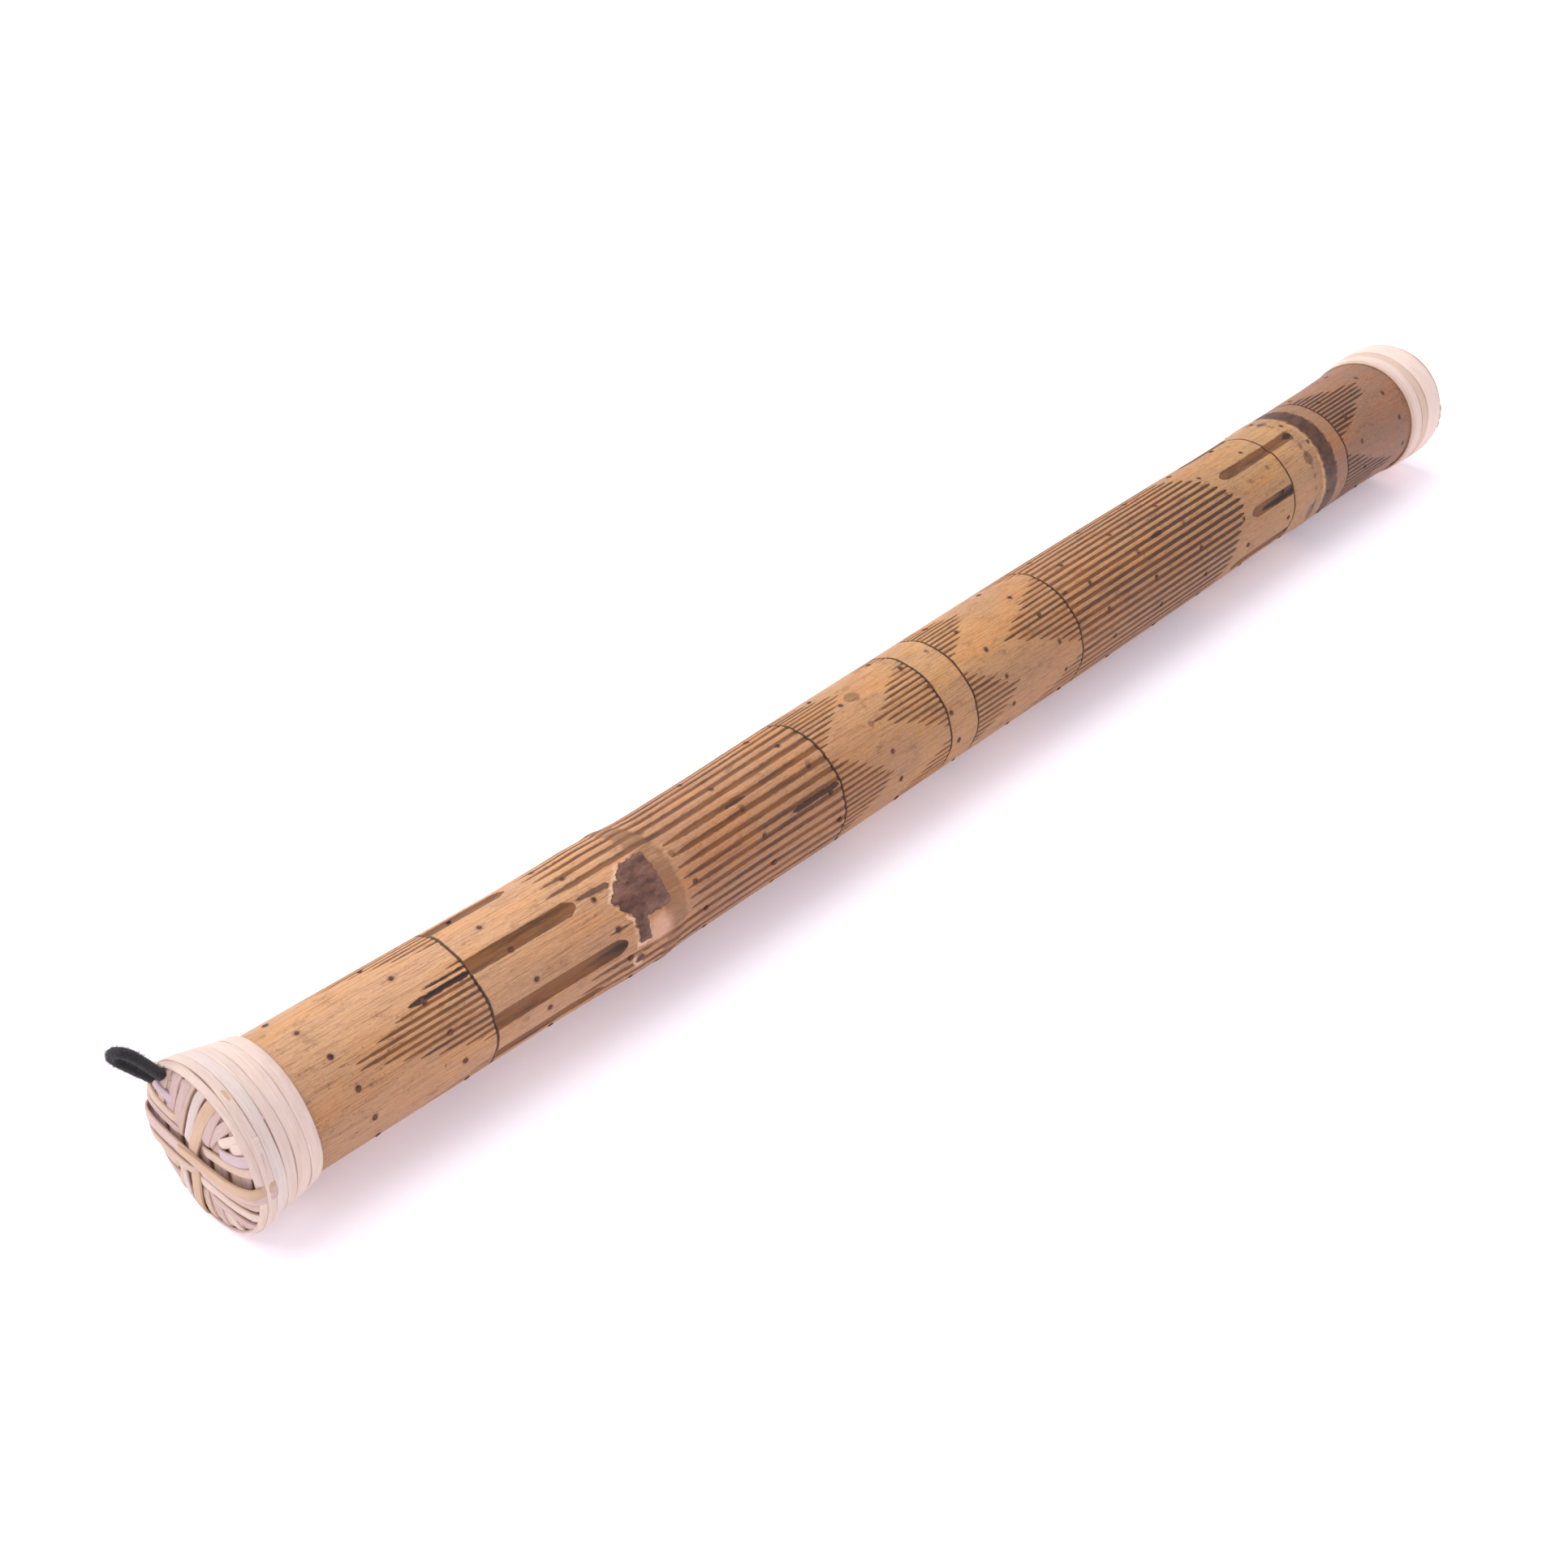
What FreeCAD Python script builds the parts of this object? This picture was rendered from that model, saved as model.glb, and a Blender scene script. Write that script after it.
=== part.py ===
"""Bamboo rainstick lying on its side, modelled in millimetres.

+X runs along the stick from the hanging-loop end to the far end, +Z is up, and the
origin is under the middle of the stick, on the surface that it lies on. The culm is
one piece of bamboo with a natural kink at its loop-side node. Both of its straight
lengths, and everything fixed to them, are drawn outward from that node along +X and
then seated by frame(): the loop side turned about, the far side as drawn.
"""
import FreeCAD, Part
import math
import os
import Sketcher

V = FreeCAD.Vector
doc = FreeCAD.newDocument("rainstick")
dims = doc.addObject("Spreadsheet::Sheet", "dims")
desk = doc.addObject("Spreadsheet::Sheet", "desk")
nodes = []

SIZES = {
    # the culm: lengths from the loop-side node to each mouth, and the kink between them
    "loop_length": 145.3,
    "far_length": 447.2,
    "kink": 2.38,
    "wall": 3.7,
    "axis_height": 24.6,
    # outer radii along the culm
    "mouth_radius": 19.8,
    "swell_radius": 20.4,
    "node_radius": 19.9,
    "middle_radius": 20.9,
    "upper_radius": 21.6,
    "ridge_radius": 22.15,
    "flare_radius": 22.9,
    # where those radii lie, measured from the loop-side node
    "swell_place": 18.0,
    "waist_place": 45.0,
    "middle_place": 134.0,
    "upper_place": 240.0,
    "ridge_place": 351.0,
    "flare_place": 417.0,
    # the scar of the branch bud
    "bud_length": 24.0,
    "bud_width": 19.0,
    "bud_slope": 4.5,
    "bud_proud": 1.0,
    # what is left of the knocked-out node walls
    "rim_height": 3.2,
    "rim_width": 3.0,
    # pins, driven in along one helix
    "pin_corner": 1.25,
    "pin_step": 2.45,
    "pin_turn": 30.0,
    "pin_first": 120.05,
    "pin_start_angle": -25.0,
    "pin_proud": 0.15,
    "pin_short": 3.3,
    "pin_free": 3.0,
    # grains, lying in the straight lanes between the rows of pins
    "grain_corner": 2.1,
    "grain_length": 4.4,
    "grain_gap": 0.6,
    "grain_clear": 0.5,
    # woven ends
    "fit_gap": 0.05,
    "plug_depth": 5.0,
    "lid_thick": 2.6,
    "strip_thick": 1.0,
    "strip_gap": 0.15,
    "band_strip": 3.0,
    "corner_strip": 4.0,
    "weave_turn": -6.0,
    "sides": 24,
    "stave_gap": 0.327,
    "shingle": 0.25,
    "hoop_front": 3.4,
    "shoulder": 1.9,
    "belt_width": 2.5,
    "loop_cover": 17.9,
    "loop_wrap_thick": 1.0,
    "loop_face_radius": 22.3,
    "far_cover": 21.3,
    "far_wrap_thick": 0.8,
    "far_face_radius": 23.2,
    "edge_hoop_width": 2.2,
    # hanging loop
    "cord_radius": 1.5,
}
# sizes that follow from those above: how far a pin reaches past the middle, where the grains
# lie in the bore, and the width of a folded end
FOLLOWING = {
    "pin_tip": "mouth_radius - wall - pin_short",
    "lane_radius": "mouth_radius - wall - grain_corner - grain_clear",
    "stave_width": "2 * (mouth_radius + fit_gap) * tan(180 / sides) - stave_gap",
}
WORDS = {**SIZES, **{word: "=" + rule for word, rule in FOLLOWING.items()}}
for row, (word, entry) in enumerate(WORDS.items(), 1):
    dims.set("A%d" % row, word)
    dims.set("B%d" % row, str(entry))
    dims.setAlias("B%d" % row, word)
doc.recompute()


def size(word):
    return float(dims.get(word))


def bind(thing, **sizes):
    """Bind properties to the sheet: every word of the sheet may be used as it is."""
    for name, rule in sizes.items():
        thing.setExpression(name.replace("__", "."), sheet_rule(rule))


def sheet_rule(rule):
    """The rule as an expression, with each word of the sheet pointed at its cell."""
    words = rule.replace("(", " ( ").replace(")", " ) ").split()
    text = " ".join("dims." + word if word in WORDS else word for word in words)
    return text.replace("sin (", "sin(").replace("cos (", "cos(")


# the loop-side node stands off the origin so that the origin is mid-length and mid-width
REACH = "lid_thick + 2 * strip_thick"
NODE_X = "( ( loop_length + %s ) * cos ( kink ) - ( far_length + %s ) ) / 2" % (REACH, REACH)
NODE_Y = "0 - loop_length * sin ( kink ) / 2"


def frame(thing, side):
    """Seat a thing drawn along +X from the loop-side node on its length of the culm."""
    turn = "( 180 - kink ) * 1 deg" if side == "loop" else "0 deg"
    thing.Placement = FreeCAD.Placement(V(0, 0, 0), FreeCAD.Rotation(V(0, 0, 1), 10))
    bind(thing, Placement__Base__x=NODE_X, Placement__Base__y=NODE_Y,
         Placement__Base__z="axis_height", Placement__Rotation__Angle=turn)


def node(thing, name, side=None):
    """Name a finished sub-part, so that it is checked and written."""
    thing.Label = name
    if side:
        frame(thing, side)
    nodes.append(thing)
    return thing


def outlined(name, points):
    """A body with one closed outline of (along, height) rules in its XZ plane."""
    body = doc.addObject("PartDesign::Body", name)
    planes = {plane.Role: plane for plane in body.Origin.OriginFeatures}
    sketch = body.newObject("Sketcher::SketchObject", name + "_outline")
    sketch.AttachmentSupport = [(planes["XZ_Plane"], "")]
    sketch.MapMode = "FlatFace"
    here = [V(value(x), value(r), 0) for x, r in points]
    for first, second in zip(here, here[1:] + here[:1]):
        sketch.addGeometry(Part.LineSegment(first, second))
    for i in range(len(here)):
        after = (i + 1) % len(here)
        sketch.addConstraint(Sketcher.Constraint("Coincident", i, 2, after, 1))
    for i, (rules, point) in enumerate(zip(points, here)):
        for kind, rule, at in (("DistanceX", rules[0], point.x), ("DistanceY", rules[1], point.y)):
            number = sketch.addConstraint(Sketcher.Constraint(kind, -1, 1, i, 1, at))
            sketch.setExpression("Constraints[%d]" % number, sheet_rule(rule))
    return body, sketch


def turned(name, points):
    """A body turned about the X axis from an outline of (along, radius) rules."""
    body, sketch = outlined(name, points)
    turn = body.newObject("PartDesign::Revolution", name + "_turn")
    turn.Profile = sketch
    turn.ReferenceAxis = (sketch, ["H_Axis"])
    turn.Angle = 360
    return body


def value(rule):
    """The number that a rule gives with the sheet as it stands."""
    desk.set("A1", "=" + sheet_rule(rule))
    desk.recompute()
    return float(desk.get("A1"))


# Round things of split cane are made with as many flat sides as there are folded ends
# under them, with one side flat on the ground.
FLAT_DOWN = FreeCAD.Rotation(V(0, 1, 0), 90).multiply(FreeCAD.Rotation(V(0, 0, 1), 180 / SIZES["sides"]))


def many_sided(name, start, length, flat_radius):
    """A many-sided rod along +X, as wide as a flat radius, half the width across its flats."""
    rod = doc.addObject("Part::Prism", name)
    rod.Placement = FreeCAD.Placement(V(0, 0, 0), FLAT_DOWN)
    bind(rod, Polygon="sides", Circumradius="( %s ) / cos ( 180 / sides )" % flat_radius,
         Height=length, Placement__Base__x=start)
    return rod


def tapered(name, stations):
    """A many-sided taper along +X through stations of (along, flat radius)."""
    sections = []
    for i, (along, flat_radius) in enumerate(stations):
        outline = doc.addObject("Part::RegularPolygon", "%s_%d" % (name, i))
        outline.Placement = FreeCAD.Placement(V(0, 0, 0), FLAT_DOWN)
        bind(outline, Polygon="sides", Placement__Base__x=along,
             Circumradius="( %s ) / cos ( 180 / sides )" % flat_radius)
        sections.append(outline)
    loft = doc.addObject("Part::Loft", name)
    loft.Sections = sections
    loft.Solid = True
    loft.Ruled = True
    return loft


def joined(kind, name, base, tool):
    """A boolean of two things: Part::Cut, Part::Common or Part::Fuse."""
    result = doc.addObject(kind, name)
    result.Base = base
    result.Tool = tool
    return result


# ---------------------------------------------------------------- the bamboo culm
# outer outline of each length, as (distance from the loop-side node, radius)
LOOP_OUTSIDE = [("0 - 2", "node_radius"), ("8", "node_radius + 0.3"),
                ("swell_place", "swell_radius"), ("swell_place + 8", "swell_radius - 0.4"),
                ("waist_place", "mouth_radius"), ("loop_length", "mouth_radius")]
FAR_OUTSIDE = [("0 - 2", "node_radius"), ("9", "mouth_radius"), ("35", "mouth_radius"),
               ("middle_place / 2", "middle_radius - 0.4"), ("middle_place", "middle_radius"),
               ("upper_place", "upper_radius"), ("ridge_place - 17", "upper_radius"),
               ("ridge_place - 4", "ridge_radius - 0.1"), ("ridge_place + 2", "ridge_radius"),
               ("ridge_place + 10", "ridge_radius - 0.25"),
               ("ridge_place + 47", "ridge_radius - 0.05"),
               ("flare_place", "flare_radius"), ("far_length", "flare_radius")]
LOOP_BORE = [("0 - 2", "mouth_radius - wall"), ("loop_length", "mouth_radius - wall")]
FAR_BORE = [("0 - 2", "mouth_radius - wall"), ("middle_place", "mouth_radius - wall"),
            ("middle_place", "middle_radius - wall"),
            ("ridge_place + 5", "middle_radius - wall"),
            ("ridge_place + 5", "middle_radius - wall - rim_height"),
            ("ridge_place + 5 + rim_width", "middle_radius - wall - rim_height"),
            ("ridge_place + 5 + rim_width", "flare_radius - wall"),
            ("far_length", "flare_radius - wall")]


def culm_radius(side, along):
    """Outer radius of the culm at a distance from the loop-side node."""
    outline = LOOP_OUTSIDE if side == "loop" else FAR_OUTSIDE
    stations = [(value(x), value(r)) for x, r in outline]
    for (x1, r1), (x2, r2) in zip(stations, stations[1:]):
        if x1 <= along <= x2:
            return r1 + (r2 - r1) * (along - x1) / (x2 - x1)
    return stations[-1][1]


loop_culm = turned("loop_culm", LOOP_OUTSIDE + LOOP_BORE[::-1])
far_culm = turned("far_culm", FAR_OUTSIDE + FAR_BORE[::-1])
# the node itself: its outer ring closes the kink, and its broken wall stands in the bore
node_ring = turned("node_ring", [
    ("0 - rim_width", "mouth_radius - wall - rim_height"), ("0 - rim_width", "node_radius + 0.25"),
    ("rim_width", "node_radius + 0.25"), ("rim_width", "mouth_radius - wall - rim_height")])
# the branch bud beside the node: a flattened shield, leaning 45 degrees to the front
bud = doc.addObject("Part::Wedge", "bud")
for edge, rule in (("Xmin", "0 - rim_width"), ("Xmax", "bud_length"),
                   ("X2min", "bud_slope - rim_width"), ("X2max", "bud_length - bud_slope"),
                   ("Zmin", "0 - bud_width / 2"), ("Zmax", "bud_width / 2"),
                   ("Z2min", "bud_slope - bud_width / 2"), ("Z2max", "bud_width / 2 - bud_slope"),
                   ("Ymin", "node_radius - 3"), ("Ymax", "node_radius + bud_proud")):
    bind(bud, **{edge: rule})
bud.Placement = FreeCAD.Placement(V(0, 0, 0), FreeCAD.Rotation(V(1, 0, 0), 45))
bud_seat = doc.addObject("Part::Compound", "bud_seat")
bud_seat.Links = [bud]
for length, side in ((loop_culm, "loop"), (bud_seat, "loop"), (far_culm, "far"), (node_ring, "far")):
    frame(length, side)
culm = doc.addObject("Part::MultiFuse", "culm")
culm.Shapes = [loop_culm, node_ring, far_culm, bud_seat]
node(culm, "bamboo_tube")

# ---------------------------------------------------------------- pins
# Rows are 30 degrees apart. Angles are measured from the top towards the front (-Y).


def pin_places():
    """Each pin as (distance from the node towards the far end, angle)."""
    step, count = size("pin_step"), 0
    along = -size("pin_first")
    last = size("far_length") - size("far_cover") - 2 * size("pin_corner")
    while along < last:
        if abs(along) > size("pin_free"):
            yield along, size("pin_start_angle") + count * size("pin_turn")
        along += step
        count += 1


def pin(side, along, angle, name):
    """A split sliver, from just proud of the culm to short of the opposite wall."""
    shaft = doc.addObject("Part::Prism", name)
    shaft.Polygon = 4
    turn = FreeCAD.Rotation(V(1, 0, 0), angle if side == "far" else -angle)
    foot = FreeCAD.Placement(V(0, 0, -size("pin_tip")), FreeCAD.Rotation(V(0, 0, 1), 45))
    shaft.Placement = FreeCAD.Placement(V(along, 0, 0), turn).multiply(foot)
    head = culm_radius(side, along)
    bind(shaft, Circumradius="pin_corner", Height="pin_tip + pin_proud + %.3f" % head)
    return shaft


def pin_group(name, side, lowest, highest):
    """All the pins between two distances from the node, as one node of separate pins."""
    group = doc.addObject("Part::Compound", name + "_group")
    chosen = [(x, a) for x, a in pin_places() if lowest < x < highest]
    group.Links = [pin(side, abs(x), a, "%s_%d" % (name, i)) for i, (x, a) in enumerate(chosen)]
    return node(group, name, side)


RIDGE = size("ridge_place")
pin_group("loop_side_pins", "loop", -1000, 0)
pin_group("middle_pins", "far", 0, RIDGE)
pin_group("far_side_pins", "far", RIDGE, 1000)

# ---------------------------------------------------------------- grains


def grain(name, place):
    """A faceted grain lying along X: where a long and a cross six-sided rod meet."""
    along = doc.addObject("Part::Prism", name + "_along")
    along.Polygon = 6
    along.Placement = FreeCAD.Placement(V(0, 0, 0), FreeCAD.Rotation(V(0, 1, 0), 90))
    bind(along, Circumradius="grain_corner", Height="grain_length",
         Placement__Base__x="0 - grain_length / 2")
    across = doc.addObject("Part::Prism", name + "_across")
    across.Polygon = 6
    bind(across, Circumradius="grain_length / 2", Height="3 * grain_corner",
         Placement__Base__z="0 - 1.5 * grain_corner")
    body = joined("Part::Common", name, along, across)
    body.Placement = place
    return body


def grain_lane(name, side, start, angle, count):
    """Grains in a row along one lane between the pins."""
    turn = FreeCAD.Rotation(V(1, 0, 0), angle if side == "far" else -angle)
    radius, pitch = size("lane_radius"), size("grain_length") + size("grain_gap")
    places = [FreeCAD.Placement(V(start + i * pitch, 0, 0), turn) for i in range(count)]
    out = FreeCAD.Placement(V(0, 0, radius), FreeCAD.Rotation())
    lane = doc.addObject("Part::Compound", name + "_lane")
    lane.Links = [grain("%s_%d" % (name, i), place.multiply(out)) for i, place in enumerate(places)]
    return node(lane, name, side)


grain_lane("loop_side_grains_low", "loop", 20, 170, 6)
grain_lane("loop_side_grains_back", "loop", 26, 200, 6)
grain_lane("middle_grains_low", "far", 60, 170, 12)
grain_lane("middle_grains_back", "far", 52, 200, 12)
grain_lane("middle_grains_front", "far", 70, 140, 9)
grain_lane("far_side_grains_low", "far", RIDGE + 20, 170, 5)
grain_lane("far_side_grains_back", "far", RIDGE + 24, 200, 5)

# ---------------------------------------------------------------- woven ends


def end_disc(side, lid_radius, bore):
    """Wooden disc: a plug in the bore and a lid over the cut end of the culm."""
    plug = many_sided(side + "_plug", side + "_length - plug_depth", "plug_depth",
                      "( %s - fit_gap ) * cos ( 180 / sides )" % bore)
    lid = many_sided(side + "_lid", side + "_length", "lid_thick", lid_radius)
    node(joined("Part::Fuse", side + "_disc", plug, lid), side + "_end_disc", side)


def strips(name, boxes):
    """Upright boxes across the end, each (low y, high y, low z, high z), turned as the weave is."""
    group = doc.addObject("Part::Compound", name)
    pieces = []
    for i, (y1, y2, z1, z2) in enumerate(boxes):
        piece = doc.addObject("Part::Box", "%s_%d" % (name, i))
        bind(piece, Length="2000", Width="( %s ) - ( %s )" % (y2, y1),
             Height="( %s ) - ( %s )" % (z2, z1), Placement__Base__y=y1, Placement__Base__z=z1)
        pieces.append(piece)
    group.Links = pieces
    group.Placement = FreeCAD.Placement(V(0, 0, 0), FreeCAD.Rotation(V(1, 0, 0), 10))
    bind(group, Placement__Rotation__Angle="weave_turn * 1 deg")
    return group


def band_boxes(upright):
    """Three strips side by side across the whole end."""
    boxes = []
    for i in range(3):
        low = "( %d - 1.5 ) * band_strip + strip_gap / 2" % i
        high = "( %d - 1.5 ) * band_strip - strip_gap / 2" % (i + 1)
        across = (low, high, "0 - 30", "30")
        boxes.append(across if upright else across[2:] + across[:2])
    return boxes


def corner_boxes():
    """Strips that fill each quarter in nested pairs, each pair stepping in from the bands."""
    boxes = []
    for quarter in range(4):
        for level in range(3):
            near = "( 1.5 * band_strip + %d * corner_strip + strip_gap / 2 )" % level
            far = "( 1.5 * band_strip + %d * corner_strip - strip_gap / 2 )" % (level + 1)
            after = "( 1.5 * band_strip + %d * corner_strip + strip_gap / 2 )" % (level + 1)
            boxes.append(quarter_box(quarter, near, "30", near, far))
            if level < 2:
                boxes.append(quarter_box(quarter, near, far, after, "30"))
    return boxes


def quarter_box(quarter, y1, y2, z1, z2):
    """Turn a box of the first quarter to another quarter."""
    for step in range(quarter):
        y1, y2, z1, z2 = "0 - " + z2, "0 - " + z1, y1, y2
        y1, y2 = ["( %s )" % rule for rule in (y1, y2)]
    return y1, y2, z1, z2


def weave(side):
    """The woven face: an under band, an over band across it, and the four filled corners."""
    edge = "%s_face_radius - %s_wrap_thick - 2 * fit_gap" % (side, side)
    lid = side + "_length + lid_thick"

    def cut_to_edge(name, thickness, boxes):
        layer = many_sided(side + name + "_layer", lid, thickness, edge)
        return joined("Part::Common", side + name, layer, strips(side + name + "_boxes", boxes))

    under = cut_to_edge("_under", "strip_thick", band_boxes(True))
    node(under, side + "_under_band", side)
    over = cut_to_edge("_over", "2 * strip_thick", band_boxes(False))
    wide = [("0 - 1.5 * band_strip", "1.5 * band_strip", "0 - 30", "30")]
    gap = cut_to_edge("_gap", "strip_thick", wide)
    node(joined("Part::Cut", side + "_bridge", over, gap), side + "_over_band", side)
    corners = cut_to_edge("_corners", "strip_thick", corner_boxes())
    node(corners, side + "_corner_strips", side)


def wrap_ring(side, label, outer, inner):
    """One turn of cane, from the stations of its outside and its inside."""
    ring = joined("Part::Cut", label + "_ring", tapered(label + "_outside", outer),
                  tapered(label + "_inside", inner))
    node(ring, label, side)


def wraps(side, mouth, hoops, count):
    """Strips lashed round the end, each one standing a little over the next."""
    thick = side + "_wrap_thick"
    start = "%s_length - %s_cover" % (side, side)
    full = "( %s_cover - shoulder )" % side
    slope = "( ( axis_height - shingle - %s - %s ) / %s )" % (mouth, thick, full)
    places = ["( %d * edge_hoop_width )" % i for i in range(hoops)]
    rest = "( %s - %d * edge_hoop_width )" % (full, hoops)
    places += ["( %d * edge_hoop_width + %s * %d / %d )" % (hoops, rest, i, count)
               for i in range(count + 1)]
    for i, (low, high) in enumerate(zip(places, places[1:])):
        name, number = ("edge_hoop", i + 1) if i < hoops else ("wrap", i + 1 - hoops)
        x1, x2 = "%s + %s" % (start, low), "%s + %s" % (start, high)
        r1 = "%s + %s * %s" % (mouth, slope, low)
        r2 = "%s + %s * %s" % (mouth, slope, high)
        wrap_ring(side, "%s_%s_%d" % (side, name, number),
                  [(x1, "%s + %s" % (r1, thick)), (x2, "%s + %s + shingle" % (r2, thick))],
                  [(x1, r1), (x2, r2)])
    mouth_x, face = side + "_length", side + "_face_radius"
    inner = "axis_height - shingle - " + thick
    belt = many_sided(side + "_rim_belt", mouth_x + " - shoulder", "belt_width", "axis_height")
    belt_end = mouth_x + " - shoulder + belt_width"
    lip = tapered(side + "_rim_lip", [
        (belt_end, "axis_height"), (mouth_x + " + 2.4", "axis_height * 0.4 + %s * 0.6" % face),
        (mouth_x + " + hoop_front", face)])
    hollow = tapered(side + "_rim_hollow", [
        (mouth_x + " - shoulder", inner), (belt_end, inner + " - 0.2"),
        (mouth_x + " + hoop_front", "%s - %s" % (face, thick))])
    outside = joined("Part::Fuse", side + "_rim_outside", belt, lip)
    node(joined("Part::Cut", side + "_rim", outside, hollow), side + "_rim_hoop", side)
    stave_start = "( 0.3 * %s_cover )" % side
    inside = mouth + " + fit_gap"
    outline = [("%s + %s" % (start, stave_start), inside),
               ("%s + %s" % (start, stave_start), "%s + %s * %s - fit_gap" % (mouth, slope, stave_start)),
               (mouth_x + " - shoulder", inner + " - fit_gap"),
               (mouth_x + " + 0.5", inner + " - 0.3"), (mouth_x + " + 0.5", inside)]
    body, sketch = outlined(side + "_folded", outline)
    pad = body.newObject("PartDesign::Pad", side + "_stave")
    pad.Profile = sketch
    pad.Midplane = True
    bind(pad, Length="stave_width")
    body.AllowCompound = True
    ring = body.newObject("PartDesign::PolarPattern", side + "_stave_ring")
    ring.Originals = [pad]
    axes = {line.Role: line for line in body.Origin.OriginFeatures}
    ring.Axis = (axes["X_Axis"], [""])
    ring.Angle = 360
    bind(ring, Occurrences="sides")
    body.Tip = ring
    node(body, side + "_folded_ends", side)


FAR_LID = "far_face_radius - far_wrap_thick - 2 * fit_gap"
ENDS = (("loop", "mouth_radius", "mouth_radius", 0, 4), ("far", "flare_radius", FAR_LID, 2, 3))
for side, mouth, lid_radius, hoops, count in ENDS:
    end_disc(side, lid_radius, mouth + " - wall")
    weave(side)
    wraps(side, mouth, hoops, count)

# ---------------------------------------------------------------- hanging loop
# A soft cord folded back on itself, both ends caught under the rim hoop.
LOOP_ROUTE = [V(-298.9, 14.0, 43.0), V(-301.8, 14.7, 47.7), V(-305.1, 16.2, 52.7),
              V(-307.2, 19.8, 52.4), V(-306.6, 22.1, 49.0), V(-303.0, 19.5, 44.8),
              V(-299.7, 16.8, 41.2)]


def rounded_wire(points):
    """Straight runs joined by arcs as large as the shorter run beside each corner allows."""
    edges, last = [], points[0]
    for before, corner, after in zip(points, points[1:], points[2:]):
        back, ahead = (before - corner), (after - corner)
        reach = 0.45 * min(back.Length, ahead.Length)
        half_turn = (math.pi - back.getAngle(ahead)) / 2
        radius = reach / math.tan(half_turn)
        print("loop bend radius %.1f mm" % radius)
        start = corner + back.normalize() * reach
        end = corner + ahead.normalize() * reach
        bisector = (back + ahead).normalize()
        middle = corner + bisector * (radius / math.cos(half_turn) - radius)
        edges += [Part.LineSegment(last, start), Part.Arc(start, middle, end)]
        last = end
    edges.append(Part.LineSegment(last, points[-1]))
    return Part.Wire([edge.toShape() for edge in edges])


def cord_section(start, ahead):
    """An eight-sided section with the area of the round cord."""
    corner = size("cord_radius") * math.sqrt(math.pi / (2 * math.sqrt(2)))
    across = ahead.cross(V(0, 0, 1)).normalize()
    upward = ahead.cross(across).normalize()
    turns = [math.radians(45 * i) for i in range(8)]
    ring = [start + across * corner * math.cos(t) + upward * corner * math.sin(t) for t in turns]
    return Part.makePolygon(ring + ring[:1])


route = rounded_wire(LOOP_ROUTE)
section = cord_section(LOOP_ROUTE[0], LOOP_ROUTE[1] - LOOP_ROUTE[0])
cord = doc.addObject("Part::Feature", "cord")
cord.Shape = route.makePipeShell([section], True, True)
straight_volume = math.pi * size("cord_radius") ** 2 * route.Length
print("loop length %.1f mm, volume ratio %.3f" % (route.Length, cord.Shape.Volume / straight_volume))
node(cord, "hanging_loop")

# ---------------------------------------------------------------- check and write
doc.recompute()
for thing in doc.Objects:
    if "Invalid" in thing.State or "Error" in thing.State:
        raise SystemExit("failed: %s %s" % (thing.Label, thing.State))
for part in nodes:
    if part.Shape.isNull() or not part.Shape.isValid() or not part.Shape.Solids:
        raise SystemExit("bad shape: %s" % part.Label)
os.makedirs("parts", exist_ok=True)
for part in nodes:
    part.Shape.exportStep("parts/%s.step" % part.Label)
print(len(nodes), "nodes written")
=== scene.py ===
"""A bamboo rainstick lying on a white table, built up in the order in which it is made.

The culm is cut and burnt, the pins are driven in, the grains are poured and the mouths
closed, the cane ends are woven and lashed, and the cord loop is tied on. Lengths are in
millimetres until a piece's points are placed in the row frame, which is in metres.
"""
import math

import bpy
import numpy as np
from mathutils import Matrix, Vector


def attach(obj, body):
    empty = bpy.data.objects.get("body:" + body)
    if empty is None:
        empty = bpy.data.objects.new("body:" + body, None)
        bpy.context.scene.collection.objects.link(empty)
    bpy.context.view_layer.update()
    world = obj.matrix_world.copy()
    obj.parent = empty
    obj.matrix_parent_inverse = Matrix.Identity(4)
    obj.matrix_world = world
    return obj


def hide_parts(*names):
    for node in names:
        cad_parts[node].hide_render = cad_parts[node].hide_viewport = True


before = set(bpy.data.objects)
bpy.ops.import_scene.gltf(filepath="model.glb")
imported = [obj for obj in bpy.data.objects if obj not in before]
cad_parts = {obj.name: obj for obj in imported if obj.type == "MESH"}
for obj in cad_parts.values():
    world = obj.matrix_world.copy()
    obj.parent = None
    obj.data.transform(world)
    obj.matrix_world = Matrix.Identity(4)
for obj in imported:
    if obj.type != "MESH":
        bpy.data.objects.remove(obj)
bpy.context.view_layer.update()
scene = bpy.context.scene

# ------------------------------------------------------------------ table, camera and lamps
# The stick lies on a sheet of white card under one very large soft lamp overhead and a little
# behind, with a weak lamp in front and pale lilac walls. The camera looks down along it.
camera_data = bpy.data.cameras.new("camera")
camera_data.lens, camera_data.sensor_width = 50, 36
camera_data.clip_start, camera_data.clip_end = 0.01, 20
camera = bpy.data.objects.new("camera", camera_data)
camera.location = (-0.5040, -0.3606, 0.3947)
camera.rotation_mode = "QUATERNION"
camera.rotation_quaternion = Vector((0.63120, 0.54152, -0.55529)).to_track_quat("-Z", "Y")
scene.collection.objects.link(camera)
scene.camera = camera


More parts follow.
